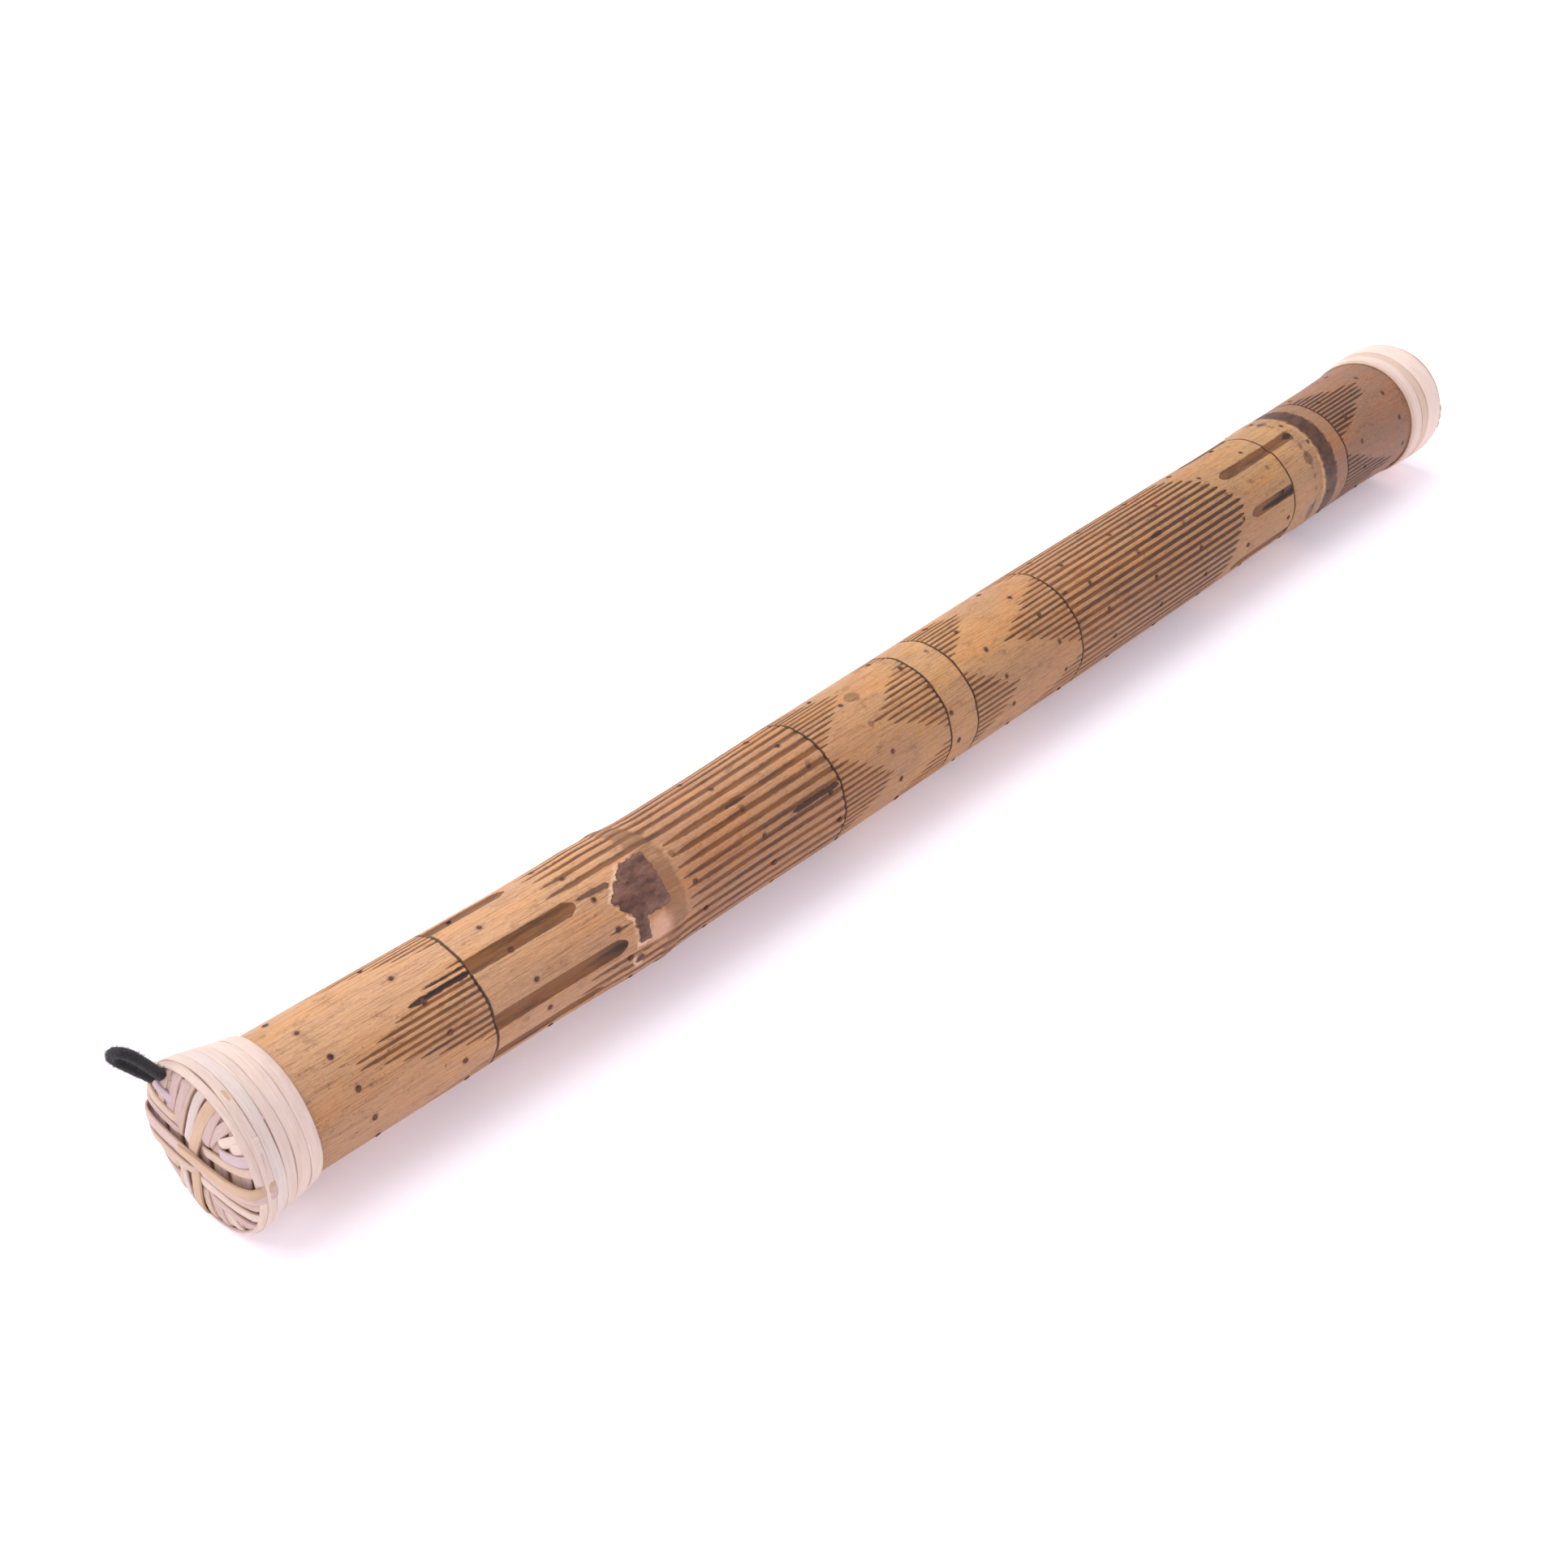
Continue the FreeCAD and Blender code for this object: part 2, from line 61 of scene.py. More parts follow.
def lamp(name, place, aim, width, height, watts, tint):
    """A rectangular soft lamp that faces a point."""
    light = bpy.data.lights.new(name, "AREA")
    light.shape, light.size, light.size_y = "RECTANGLE", width, height
    light.energy, light.color = watts, tint
    holder = bpy.data.objects.new(name, light)
    holder.location = place
    holder.rotation_mode = "QUATERNION"
    holder.rotation_quaternion = (Vector(aim) - Vector(place)).to_track_quat("-Z", "Y")
    scene.collection.objects.link(holder)


lamp("sky_lamp", (-0.35, 0.95, 1.9), (0, 0, 0), 3.2, 2.4, 52, (1.0, 0.99, 0.975))
lamp("front_lamp", (-1.1, -1.0, 0.8), (0, 0, 0), 1.2, 0.8, 3.0, (1.0, 0.96, 1.0))
world = bpy.data.worlds.new("studio")
world.use_nodes = True
world.node_tree.nodes["Background"].inputs["Color"].default_value = (0.94, 0.90, 1.0, 1)
world.node_tree.nodes["Background"].inputs["Strength"].default_value = 0.68
scene.world = world
scene.view_settings.view_transform = "Standard"


def mesh_object(name, points, faces, smooth=True):
    """A new mesh in the scene, its points already in the row frame."""
    mesh = bpy.data.meshes.new(name)
    mesh.from_pydata([tuple(p) for p in np.asarray(points).reshape(-1, 3)], [], faces)
    mesh.polygons.foreach_set("use_smooth", [smooth] * len(mesh.polygons))
    piece = bpy.data.objects.new(name, mesh)
    scene.collection.objects.link(piece)
    return piece


class Wire:
    """A value in a material's nodes that takes part in ordinary sums."""

    def __init__(self, finish, socket):
        self.finish, self.socket = finish, socket

    def __add__(self, other):
        return self.finish.sum("ADD", self, other)

    def __sub__(self, other):
        return self.finish.sum("SUBTRACT", self, other)

    def __rsub__(self, other):
        return self.finish.sum("SUBTRACT", other, self)

    def __mul__(self, other):
        return self.finish.sum("MULTIPLY", self, other)

    def __truediv__(self, other):
        return self.finish.sum("DIVIDE", self, other)

    def __mod__(self, other):
        return self.finish.sum("FLOORED_MODULO", self, other)

    def __pow__(self, other):
        return self.finish.sum("POWER", self, other)

    def __neg__(self):
        return self.finish.sum("MULTIPLY", self, -1.0)

    def __abs__(self):
        return self.finish.sum("ABSOLUTE", self)

    __radd__, __rmul__ = __add__, __mul__


class Finish:
    """A material whose nodes are all made by one method."""

    def __init__(self, name):
        self.material = bpy.data.materials.new(name)
        self.material.use_nodes = True
        self.tree = self.material.node_tree
        self.surface = self.tree.nodes["Principled BSDF"]

    def node(self, kind, settings=None, inputs=None, out=0):
        """Add a node: its settings first, then values or wires by socket; returns one output."""
        made = self.tree.nodes.new("ShaderNode" + kind)
        for word, value in (settings or {}).items():
            if word == "stops":
                while len(made.color_ramp.elements) < len(value):
                    made.color_ramp.elements.new(1.0)
                for stop, (place, colour) in zip(made.color_ramp.elements, value):
                    stop.position, stop.color = place, (*colour, 1)
            else:
                setattr(made, word, value)
        for socket, value in (inputs or {}).items():
            if isinstance(value, Wire):
                self.tree.links.new(value.socket, made.inputs[socket])
            else:
                made.inputs[socket].default_value = value
        return Wire(self, made.outputs[out])

    def sum(self, operation, *values):
        return self.node("Math", {"operation": operation}, dict(enumerate(values)))

    def noise(self, vector, scale, detail=2.0, roughness=0.5):
        """Smooth noise from 0 to 1."""
        return self.node("TexNoise", {"noise_dimensions": "3D"}, {
            "Vector": vector, "Scale": scale, "Detail": detail, "Roughness": roughness})

    def stretched(self, vector, scales):
        """A vector with each axis multiplied."""
        return self.node("VectorMath", {"operation": "MULTIPLY"}, {0: vector, 1: scales})

    def tinted(self, amount, base, over, how="MIX"):
        """One colour over another, by an amount from 0 to 1."""
        base, over = [(*c, 1) if isinstance(c, tuple) else c for c in (base, over)]
        return self.node("Mix", {"data_type": "RGBA", "blend_type": how},
                         {0: amount, 6: base, 7: over}, out=2)

    def done(self, colour, roughness, height=None, depth=0.001, **constants):
        """Wire up the surface; the height, in units of the depth, becomes a bump."""
        for socket, value in (("Base Color", colour), ("Roughness", roughness)):
            if isinstance(value, Wire):
                self.tree.links.new(value.socket, self.surface.inputs[socket])
            else:
                self.surface.inputs[socket].default_value = value
        for socket, value in constants.items():
            self.surface.inputs[socket.replace("_", " ")].default_value = value
        if height is not None:
            bump = self.node("Bump", {}, {"Strength": 1.0, "Distance": depth, "Height": height})
            self.tree.links.new(bump.socket, self.surface.inputs["Normal"])
        return self.material


def colour(red, green, blue):
    """A paint colour given as on a colour card, from 0 to 255, made linear."""
    return tuple((v / 255) ** 2.2 for v in (red, green, blue))


table = mesh_object("table", [(-4, -4, 0), (4, -4, 0), (4, 4, 0), (-4, 4, 0)], [(0, 1, 2, 3)])
card = Finish("white_card")
place = card.node("TexCoord", {}, {}, out="Object")
tooth = card.noise(place, 400.0, 2, 0.5)
card.done(card.tinted(tooth, colour(252, 249, 252), colour(249, 246, 250)), 0.9,
          Emission_Color=(0.94, 0.88, 1.0, 1), Emission_Strength=0.24)
table.data.materials.append(card.material)

# ------------------------------------------------------------------ the bamboo culm
# One length of dried bamboo, about 43 mm thick, sawn off either side of two nodes and a
# little bent at the first. A hot iron has drawn flutes, combs of lines and rings on it.
BEND = math.radians(2.38)
NODE_PLACE = (-151.0, -3.02, 24.6)
FAR_MOUTH, LOOP_MOUTH, BORE_RADIUS = 447.2, -145.3, 16.1
RINGS = (-70.0, 68.6, 120.7, 134.7, 193.0, 334.5, 374.7)
CULM_RADII = ((-148, 19.8), (-127, 19.9), (-95, 19.85), (-70, 19.8), (-45, 19.7), (-26, 20.0),
              (-18, 20.3), (-8, 20.2), (-3, 20.1), (4, 19.75), (9, 19.7), (35, 19.9), (68, 20.5),
              (121, 20.8), (134, 20.9), (193, 21.5), (240, 21.65), (290, 21.7), (315, 21.4),
              (334, 21.5), (343, 21.7), (349, 22.1), (356, 22.1), (361, 21.9), (370, 21.95),
              (398, 22.2), (417, 22.8), (450, 22.9))


def placed(along, angle, radius):
    """Points in the row frame, from mm along the culm and degrees from the top to the front."""
    along, angle, radius = np.broadcast_arrays(*[np.asarray(v, float) for v in (along, angle, radius)])
    past = (np.sqrt(along ** 2 + 25) - along) / 2
    sway = BEND * np.clip(0.5 - along / 10, 0, 1)
    back = -np.sin(np.radians(angle)) * radius
    x = along + (1 - math.cos(BEND)) * past + np.sin(sway) * back
    y = math.sin(BEND) * past + np.cos(sway) * back
    z = np.cos(np.radians(angle)) * radius
    return (np.stack([x, y, z], -1) + NODE_PLACE) / 1000


def either(operation, rule):
    """A rule for wires and numbers alike, so that the paint and the carving agree."""
    def applied(*values):
        wires = [value for value in values if isinstance(value, Wire)]
        return wires[0].finish.sum(operation, *values) if wires else rule(*values)
    return applied


least = either("MINIMUM", np.minimum)
most = either("MAXIMUM", np.maximum)
whole = either("FLOOR", np.floor)
root = either("SQRT", np.sqrt)
wave = either("SINE", np.sin)


def clamped(value):
    return least(most(value, 0.0), 1.0)


def chance(number, seed):
    """A number from 0 to 1 that looks random, the same for the same whole number."""
    return (wave(number * 12.99 + seed) * 437.58) % 1.0


def off_centre(angle, centre, period):
    """Degrees to the nearest of the centres that come every so often round the culm."""
    return abs((angle - centre + period / 2) % period - period / 2)


def stroke(along, across, start, end, half, start_taper, end_taper):
    """Millimetres inside the edge of one pass of the iron, negative outside it."""
    inside = least((along - start) / start_taper, (end - along) / end_taper)
    return half * root(clamped(inside)) - across - 50 * most(-inside, 0.0)


def comb(along, angle, lines, first, reach, half, tapers, radius):
    """Strokes side by side round the culm; reach gives the ends of one from its angle."""
    spacing = 360 / lines
    number = whole((angle - first) / spacing + 0.5)
    centre = number * spacing + first
    start, end = reach(centre, chance(number % lines, first))
    across = abs(angle - centre) * (radius * math.pi / 180)
    return stroke(along, across, start, end, half, *tapers)


def triangle(centre, peak, tallest, slope):
    """The length of the stroke at an angle, in groups whose middle strokes are the longest."""
    return most(tallest - slope * off_centre(centre, peak, 90), 0.0)


def line_strokes(along, angle):
    """The fine strokes: combs that grow from the rings, and those between node and ring."""
    def before_a(centre, luck):
        return -70 - triangle(centre, 54, 44, 1.2) * (0.92 + 0.16 * luck), -70

    def after_b(centre, luck):
        return 68.6, 68.6 + triangle(centre, -8, 25, 0.575) * (0.9 + 0.18 * luck)

    def before_c(centre, luck):
        return 120.7 - triangle(centre, 35, 28.5, 0.68) * (0.9 + 0.18 * luck), 120.7

    def after_d(centre, luck):
        return 134.7, 134.7 + triangle(centre, -11, 24, 0.6) * (0.9 + 0.18 * luck)

    def before_e(centre, luck):
        return 193 - triangle(centre, 37, 34, 0.83) * (0.9 + 0.18 * luck), 193

    def after_e(centre, luck):
        return 193, 302 + luck - 0.25 * off_centre(centre, 49.5, 180)

    def after_g(centre, luck):
        return 374.7, 374.7 + triangle(centre, 15.5, 39, 1.02) * (0.85 + 0.2 * luck)

    return most(most(most(
        comb(along, angle, 66, 0.0, before_a, 0.45, (6, 0.1), 19.8),
        comb(along, angle, 68, 2.6, after_b, 0.45, (0.1, 4), 20.6)), most(
        comb(along, angle, 66, 2.0, before_c, 0.42, (4, 0.1), 20.8),
        comb(along, angle, 68, 1.0, after_d, 0.5, (0.1, 4), 21.0))), most(most(
            comb(along, angle, 68, 0.5, before_e, 0.45, (4, 0.1), 21.4),
            comb(along, angle, 50, 2.5, after_e, 0.68, (0.1, 2.5), 21.6)),
            comb(along, angle, 76, 0.0, after_g, 0.52, (0.1, 5), 22.1)))


def groove_strokes(along, angle):
    """The wider grooves from the first node to its ring; past the bud they cross the node."""
    def reach(centre, luck):
        beside = clamped((off_centre(centre, 56, 360) - 33) / 2)
        return 1.6 - beside * (38 + 4 * luck), 68.6

    warped = angle - 2.5 * wave((angle - 20) * (math.pi / 52))
    return comb(along, warped, 35, 4.6, reach, 0.8, (9, 0.1), 19.9)


FLUTES = ((-23, -69.8, -42.5, 2.4), (30.1, -69.8, -32.5, 2.45), (79.6, -69.8, -22.5, 2.45),
          (114, -69.8, -31, 2.2), (163, -69.8, -36, 2.3), (-128, -69.8, -40, 2.4),
          (-76, -69.8, -33, 2.4))
BARS = ((18.3, 301, 350.5, 2.1), (66.9, 305, 334.4, 1.9), (116, 294, 334.4, 2.1),
        (166, 300, 334.4, 2.2), (-34, 303, 334.4, 2.0), (-83, 298, 345, 2.2),
        (-134, 304, 334.4, 2.1))


def broad_strokes(along, angle):
    """The flutes that end round before the node, and the bars that begin round before a ring."""
    found = -1000.0
    for strokes, tapers in ((FLUTES, (0.1, 3.2)), (BARS, (3.2, 0.3))):
        for centre, start, end, half in strokes:
            across = off_centre(angle, centre, 360) * (20.5 * math.pi / 180)
            found = most(stroke(along, across, start, end, half, *tapers), found)
    return found


def ring_lines(along, angle):
    """The thin scribed rings."""
    wavering = along + 0.25 * wave(angle * (math.pi / 60)) + 0.15 * wave(angle * (math.pi / 17))
    nearest = 1000.0
    for ring in RINGS:
        nearest = least(abs(wavering - ring), nearest)
    return 0.42 - nearest


def scar(along, angle, looseness=0.0):
    """The shield left by the branch bud, with its drip: 0 at its edge, 1 a good way inside."""
    down = angle * 0.35
    left = least((along + 23.7) * 0.66 + (down - 15.4) * 0.76,
        (along + 23.7) * 0.82 - (down - 15.4) * 0.57)
    shield = least(least(down - 7.0, 23.8 - down), least(-5.4 - along, left))
    drip = least(2.3 - abs(along + 16.6), least(down - 20, 30.4 - down))
    drop = 1.8 - root((along + 18.5) ** 2.0 + (down - 35.7) ** 2.0)
    return most(shield, most(drip, drop)) / 3.5 + looseness


def collar(along, angle, looseness=0.0):
    """The crescent of old sheath on the far side of the bud and, thinly, right round."""
    middle = -3.8 - 2.2 * clamped(off_centre(angle, 50, 360) / 60 - 0.3)
    return 1 - abs(along - middle) / (4.6 - 1.4 * clamped(off_centre(angle, 50,
        360) / 60 - 0.4)) + looseness


AROUND, INSIDE_RINGS = 300, 8
stations = np.concatenate([
    np.arange(LOOP_MOUTH, -30, 2.3), np.arange(-30, 8, 1.15), np.arange(8, 343, 2.3),
    np.arange(343, 362, 1.5), np.arange(362, FAR_MOUTH, 2.3), [FAR_MOUTH],
    *[[ring - 0.8, ring - 0.3, ring + 0.3, ring + 0.8] for ring in RINGS]])
stations = np.unique(np.round(stations, 2))
radii = np.interp(stations, *zip(*CULM_RADII))
angles = np.arange(AROUND) * 360 / AROUND - 180
along_grid, angle_grid = np.meshgrid(stations, angles, indexing="ij")
relief = (0.12 * np.sin(np.radians(2 * angle_grid + 40)) + 0.08 * np.sin(np.radians(3 * angle_grid))
          * np.sin(along_grid / 37))
relief -= 0.28 * clamped(line_strokes(along_grid, angle_grid) / 0.4 + 0.4)
relief -= 0.35 * clamped(groove_strokes(along_grid, angle_grid) / 0.5 + 0.4)
relief -= 0.6 * np.sqrt(clamped(broad_strokes(along_grid, angle_grid) / 2.0))
relief -= 0.3 * clamped(ring_lines(along_grid, angle_grid) / 0.3 + 0.3)
relief += 0.9 * np.sqrt(clamped(scar(along_grid, angle_grid) * 1.4))
relief += 0.35 * clamped(collar(along_grid, angle_grid) * 1.5)
outside = placed(along_grid, angle_grid, radii[:, None] + relief)
bore_stations = np.linspace(FAR_MOUTH, LOOP_MOUTH, INSIDE_RINGS)
bore = placed(*np.meshgrid(bore_stations, angles, indexing="ij"), BORE_RADIUS)
rings_total = len(stations) + INSIDE_RINGS
faces = []
for i in range(rings_total):
    after = (i + 1) % rings_total
    for j in range(AROUND):
        beside = (j + 1) % AROUND
        faces.append((i * AROUND + j, after * AROUND + j, after * AROUND + beside, i * AROUND + beside))
culm = mesh_object("culm", np.concatenate([outside, bore]), faces)
heights = np.concatenate([stations, bore_stations])
fold = culm.data.uv_layers.new(name="wrap")
i, j = np.divmod(np.arange(len(faces)), AROUND)
after = (i + 1) % rings_total
corners = [(j, i), (j, after), (j + 1, after), (j + 1, i)]
uv = np.stack([np.stack([a / AROUND, (heights[b] + 150) / 600], -1) for a, b in corners], 1)
fold.data.foreach_set("uv", uv.astype(np.float32).ravel())
culm.data.polygons.foreach_set("material_index", (i >= len(stations) - 1).astype(np.int32))

paint = Finish("burnt_bamboo")
split = paint.node("SeparateXYZ", {}, {0: paint.node("UVMap", {"uv_map": "wrap"})})
angle = split * 360.0 - 180.0
along = Wire(paint, split.socket.node.outputs[1]) * 600.0 - 150.0
turn = angle * (math.pi / 180)
straight = paint.node("CombineXYZ", {}, {
    0: along, 1: wave(turn) * 21.0, 2: wave(turn + math.pi / 2) * 21.0})
waver = paint.noise(straight, 0.55, 3) - 0.5
fibres = paint.noise(paint.stretched(straight, (0.03, 1.0, 1.0)), 2.6, 4, 0.65)
fine = paint.noise(paint.stretched(straight, (0.06, 1.0, 1.0)), 9.0, 2, 0.6)
clouds = paint.noise(paint.stretched(straight, (0.35, 1.0, 1.0)), 0.09, 4, 0.6)
blotches = paint.noise(paint.stretched(straight, (0.5, 1.0, 1.0)), 0.28, 5, 0.65)

wood = paint.node("ValToRGB", {"stops": (
    (0.00, colour(198, 152, 110)), (0.13, colour(210, 163, 121)), (0.24, colour(204, 155, 114)),
    (0.26, colour(188, 139, 102)), (0.37, colour(192, 143, 99)), (0.46, colour(198, 153, 106)),
    (0.56, colour(190, 143, 100)), (0.70, colour(182, 136, 94)), (0.80, colour(188, 147, 99)),
    (0.825, colour(193, 152, 108)), (0.85, colour(161, 125, 91)), (0.88, colour(153, 116, 89)),
    (1.00, colour(146, 110, 89)))}, {0: (along + 150) / 600})
wood = paint.tinted(clamped((clouds - 0.45) * 3.2) * 0.8, wood, colour(236, 190, 140), "SOFT_LIGHT")
wood = paint.tinted(clamped((0.53 - fibres) * 4.2) * 0.68, wood, colour(126, 80, 52))
wood = paint.tinted(clamped((blotches - 0.56) * 7) * 0.42, wood, colour(108, 74, 54))
wood = paint.tinted(clamped((fine - 0.57) * 8) * 0.5, wood, colour(88, 54, 36))
wood = paint.tinted(clamped((0.4 - fine) * 8) * 0.42, wood, colour(242, 206, 164))
mould = paint.noise(straight, 0.9, 5, 0.7)
stained = clamped((-70 - along) / 20) * clamped((angle - 18) / 30) + clamped((along - 200) / 60) * 0.5
wood = paint.tinted(clamped((mould + blotches * 0.5 - 0.84) * 9) * (0.25 + 0.4 * clamped(stained)),
    wood, colour(84, 56, 42))
# painted shade: the bamboo is darkened towards its lower front side, from 25 degrees below the top
# onward, where less light falls
wood = paint.tinted(clamped((angle - 25) / 45) * 0.3, wood, colour(112, 74, 56))

lines = clamped((line_strokes(along, angle) + waver * 0.35) / 0.3 + 0.5)
grooves = clamped((groove_strokes(along, angle) + waver * 0.5) / 0.4 + 0.5)
inside_bars = broad_strokes(along, angle) + waver * 0.5
bars = clamped(inside_bars / 0.4 + 0.5)
rings = clamped((ring_lines(along, angle) + waver * 0.2) / 0.25 + 0.5)
char = paint.noise(paint.stretched(straight, (0.12, 1.0, 1.0)), 0.5, 3, 0.6)
far_dark = clamped((along - 200) / 70) * 0.85
scorch = paint.tinted(clamped((char - 0.4) * 4), colour(122, 74, 38), colour(68, 39, 22))
scorch = paint.tinted(far_dark, scorch, colour(50, 28, 16))
wood = paint.tinted(lines * 0.88, wood, scorch)
wood = paint.tinted(grooves * 0.86, wood, scorch)
deep = paint.tinted(clamped((char - 0.45) * 4), colour(122, 76, 38), colour(66, 39, 20))
wood = paint.tinted(bars * 0.92, wood, deep)
coal = most(clamped((along + 34) / 8) * clamped((-20 - along) / 1.0)
    * clamped(1.2 - off_centre(angle, 79.6, 360) / 8),
            clamped((along - 312) / 14) * clamped((336 - along) / 1.0) * clamped(1.2
                - off_centre(angle, 68, 360) / 7))
wood = paint.tinted(coal * bars * 0.85, wood, colour(34, 22, 26))
wood = paint.tinted(rings * 0.9, wood, colour(52, 32, 26))

sheath = clamped(collar(along, angle, waver * 0.7) * 3.5)
wood = paint.tinted(sheath * clamped(blotches * 3 - 0.7) * 0.7, wood, paint.tinted(
    clamped(blotches * 3 - 1), colour(98, 66, 46), colour(142, 102, 70)))
bark = scar(along, angle, waver * 0.8)
worn = clamped(1 - abs(along + 10.5) / 5.5) * clamped(1.3 - abs(angle - 84) / 11)
wood = paint.tinted(clamped(worn * 2) * 0.55, wood, colour(228, 178, 152))
scratch = stroke(along, abs(angle - 29 - along * 0.15 - 4) * 0.35, -32, -20, 1.0, 5, 1)
wood = paint.tinted(clamped((scratch + waver) / 0.4 + 0.3) * 0.8, wood, colour(70, 44, 34))
pale_side = clamped((-13.5 - along) / 3)
wood = paint.tinted(clamped((bark + 0.3) * 7) * pale_side * clamped(blotches * 5 - 1.9) * 0.85,
    wood, colour(226, 188, 154))
wood = paint.tinted(clamped(bark * 8), wood,
    paint.tinted(clamped(blotches * 4 - 1.6), colour(84, 56, 46), colour(132, 94, 78)))
far_band = clamped((5.2 - abs(along + waver * 4 - 361.6)) / 1.2)
wood = paint.tinted(far_band * 0.94, wood,
    paint.tinted(clamped(blotches * 4 - 1.5), colour(52, 30, 22), colour(96, 62, 42)))
smears = clamped((blotches + 0.22 - abs(along - 349.5) / 9 - 0.62) * 9)
wood = paint.tinted(smears * 0.7, wood, colour(110, 78, 56))
yellow = clamped((1.2 - abs(along - 355.6 + waver * 1.5)) / 0.8)
wood = paint.tinted(yellow * clamped(blotches * 5 - 2) * 0.6, wood, colour(214, 172, 100))

# single strokes and smudges where the iron slipped: along from and to, angle, width, strength
for start, end, centre, half, dark in ((-90.5, -70, 33.3, 0.9, 0.95), (-85, -70, 26.9, 0.4, 0.9),
                                       (47, 68, 61.8, 0.9, 0.9), (27, 36, 27.8, 0.7, 0.8),
                                       (91, 97, 3.5, 2.6, 0.4), (130, 132, 5, 1.4, 0.6), (194, 197,
                                           31, 0.9, 0.7),
                                       (248, 255, 31, 1.0, 0.7), (-28, -19, 66, 0.35, 0.7), (346,
                                           351, 18.3, 1.6, 0.85),
                                       (312, 334.4, 68.6, 0.7, 0.85), (347, 352, -12, 2.0, 0.5),
                                       (347, 352, 49, 3.2, 0.5), (346, 351, 106, 4.0, 0.45)):
    mark = stroke(along, off_centre(angle, centre, 360) * 0.37, start, end, half, 3, 2)
    wood = paint.tinted(clamped((mark + waver * 0.8) / 0.35 + 0.4) * dark, wood, colour(44, 27, 24))

# a dark ring of crushed fibre round each pin
PIN_FIRST, PIN_STEP, PIN_TURN, PIN_START = -120.05, 2.45, 30.0, -25.0
row = whole((angle - PIN_START) / PIN_TURN + 0.5)
across = abs(angle - PIN_START - row * PIN_TURN) * (21 * math.pi / 180)
place = (along - PIN_FIRST - (row % 12.0) * PIN_STEP) / (12 * PIN_STEP)
nearest = place - whole(place + 0.5)
driven = clamped((along - PIN_FIRST + 5) / 2) * clamped((424 - along) / 2)
halo = clamped((1.45 - root((nearest * 12 * PIN_STEP) ** 2.0 + across ** 2.0) + waver * 0.6)
    / 0.7) * driven
wood = paint.tinted(halo * 0.55, wood, colour(96, 60, 42))

carved = most(lines, grooves) * 0.35 + most(bars * 0.5, rings * 0.5)
surface = fibres * 0.10 + fine * 0.05 - carved * 0.4 + clamped(bark * 6) * (blotches * 0.8)
bamboo = paint.done(wood, 0.42 + 0.22 * fibres + 0.12 * carved, surface, 0.001,
                    Coat_Weight=0.05, Coat_Roughness=0.35, Specular_IOR_Level=0.35)
culm.data.materials.append(bamboo)

raw = Finish("sawn_bamboo")
place = raw.node("TexCoord", {}, {}, out="Object")
streaks = raw.noise(raw.stretched(place, (60.0, 900.0, 900.0)), 1.0, 3, 0.6)
pale_wood = raw.tinted(streaks, colour(214, 178, 128), colour(170, 128, 84))
culm.data.materials.append(raw.done(pale_wood, 0.7, streaks, 0.0003))
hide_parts("bamboo_tube")
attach(culm, "stick")

# ------------------------------------------------------------------ the pins
# Split slivers of hardwood, driven through the wall in one long helix, thirty degrees and
# 2.45 mm apart, and cut off flush. Their shafts make the grains patter inside.
PIN_THICK, PIN_SHAFT, PIN_PROUD = 1.9, 12.8, 0.12


def tree_inputs(tree, **kinds):
    """Give a tree its named inputs; a geometry input and output come first."""
    tree.interface.new_socket("Geometry", in_out="INPUT", socket_type="NodeSocketGeometry")
    for name, kind in kinds.items():
        tree.interface.new_socket(name, in_out="INPUT", socket_type="NodeSocket" + kind)
    tree.interface.new_socket("Geometry", in_out="OUTPUT", socket_type="NodeSocketGeometry")


def geometry_node(tree, kind, settings=None, inputs=None):
    """Add a node to a geometry tree, with its settings and its values or links."""
    made = tree.nodes.new(kind)
    for word, value in (settings or {}).items():
        setattr(made, word, value)
    for socket, value in (inputs or {}).items():
        if isinstance(value, bpy.types.NodeSocket):
            tree.links.new(value, made.inputs[socket])
        else:
            made.inputs[socket].default_value = value
    return made


def finish_tree(tree, geometry, given):
    """End a tree: everything made real, and given the finish that was put in."""
    real = geometry_node(tree, "GeometryNodeRealizeInstances", {}, {0: geometry})
    made = geometry_node(tree, "GeometryNodeSetMaterial", {}, {
        0: real.outputs[0], "Material": given.outputs["Finish"]})
    geometry_node(tree, "NodeGroupOutput", {}, {0: made.outputs[0]})


def grown(name, source, tree, **values):
    """Run a tree on an object and return the result as a plain mesh; the source goes."""
    modifier = source.modifiers.new("grow", "NODES")
    modifier.node_group = tree
    for item in tree.interface.items_tree:
        if item.in_out == "INPUT" and item.name in values:
            modifier[item.identifier] = values[item.name]
    bpy.context.view_layer.update()
    result = source.evaluated_get(bpy.context.evaluated_depsgraph_get())
    mesh = bpy.data.meshes.new_from_object(result, preserve_all_data_layers=True,
                                           depsgraph=bpy.context.evaluated_depsgraph_get())
    source.modifiers.remove(modifier)
    bpy.data.objects.remove(source)
    mesh.name = name
    piece = bpy.data.objects.new(name, mesh)
    scene.collection.objects.link(piece)
    return piece


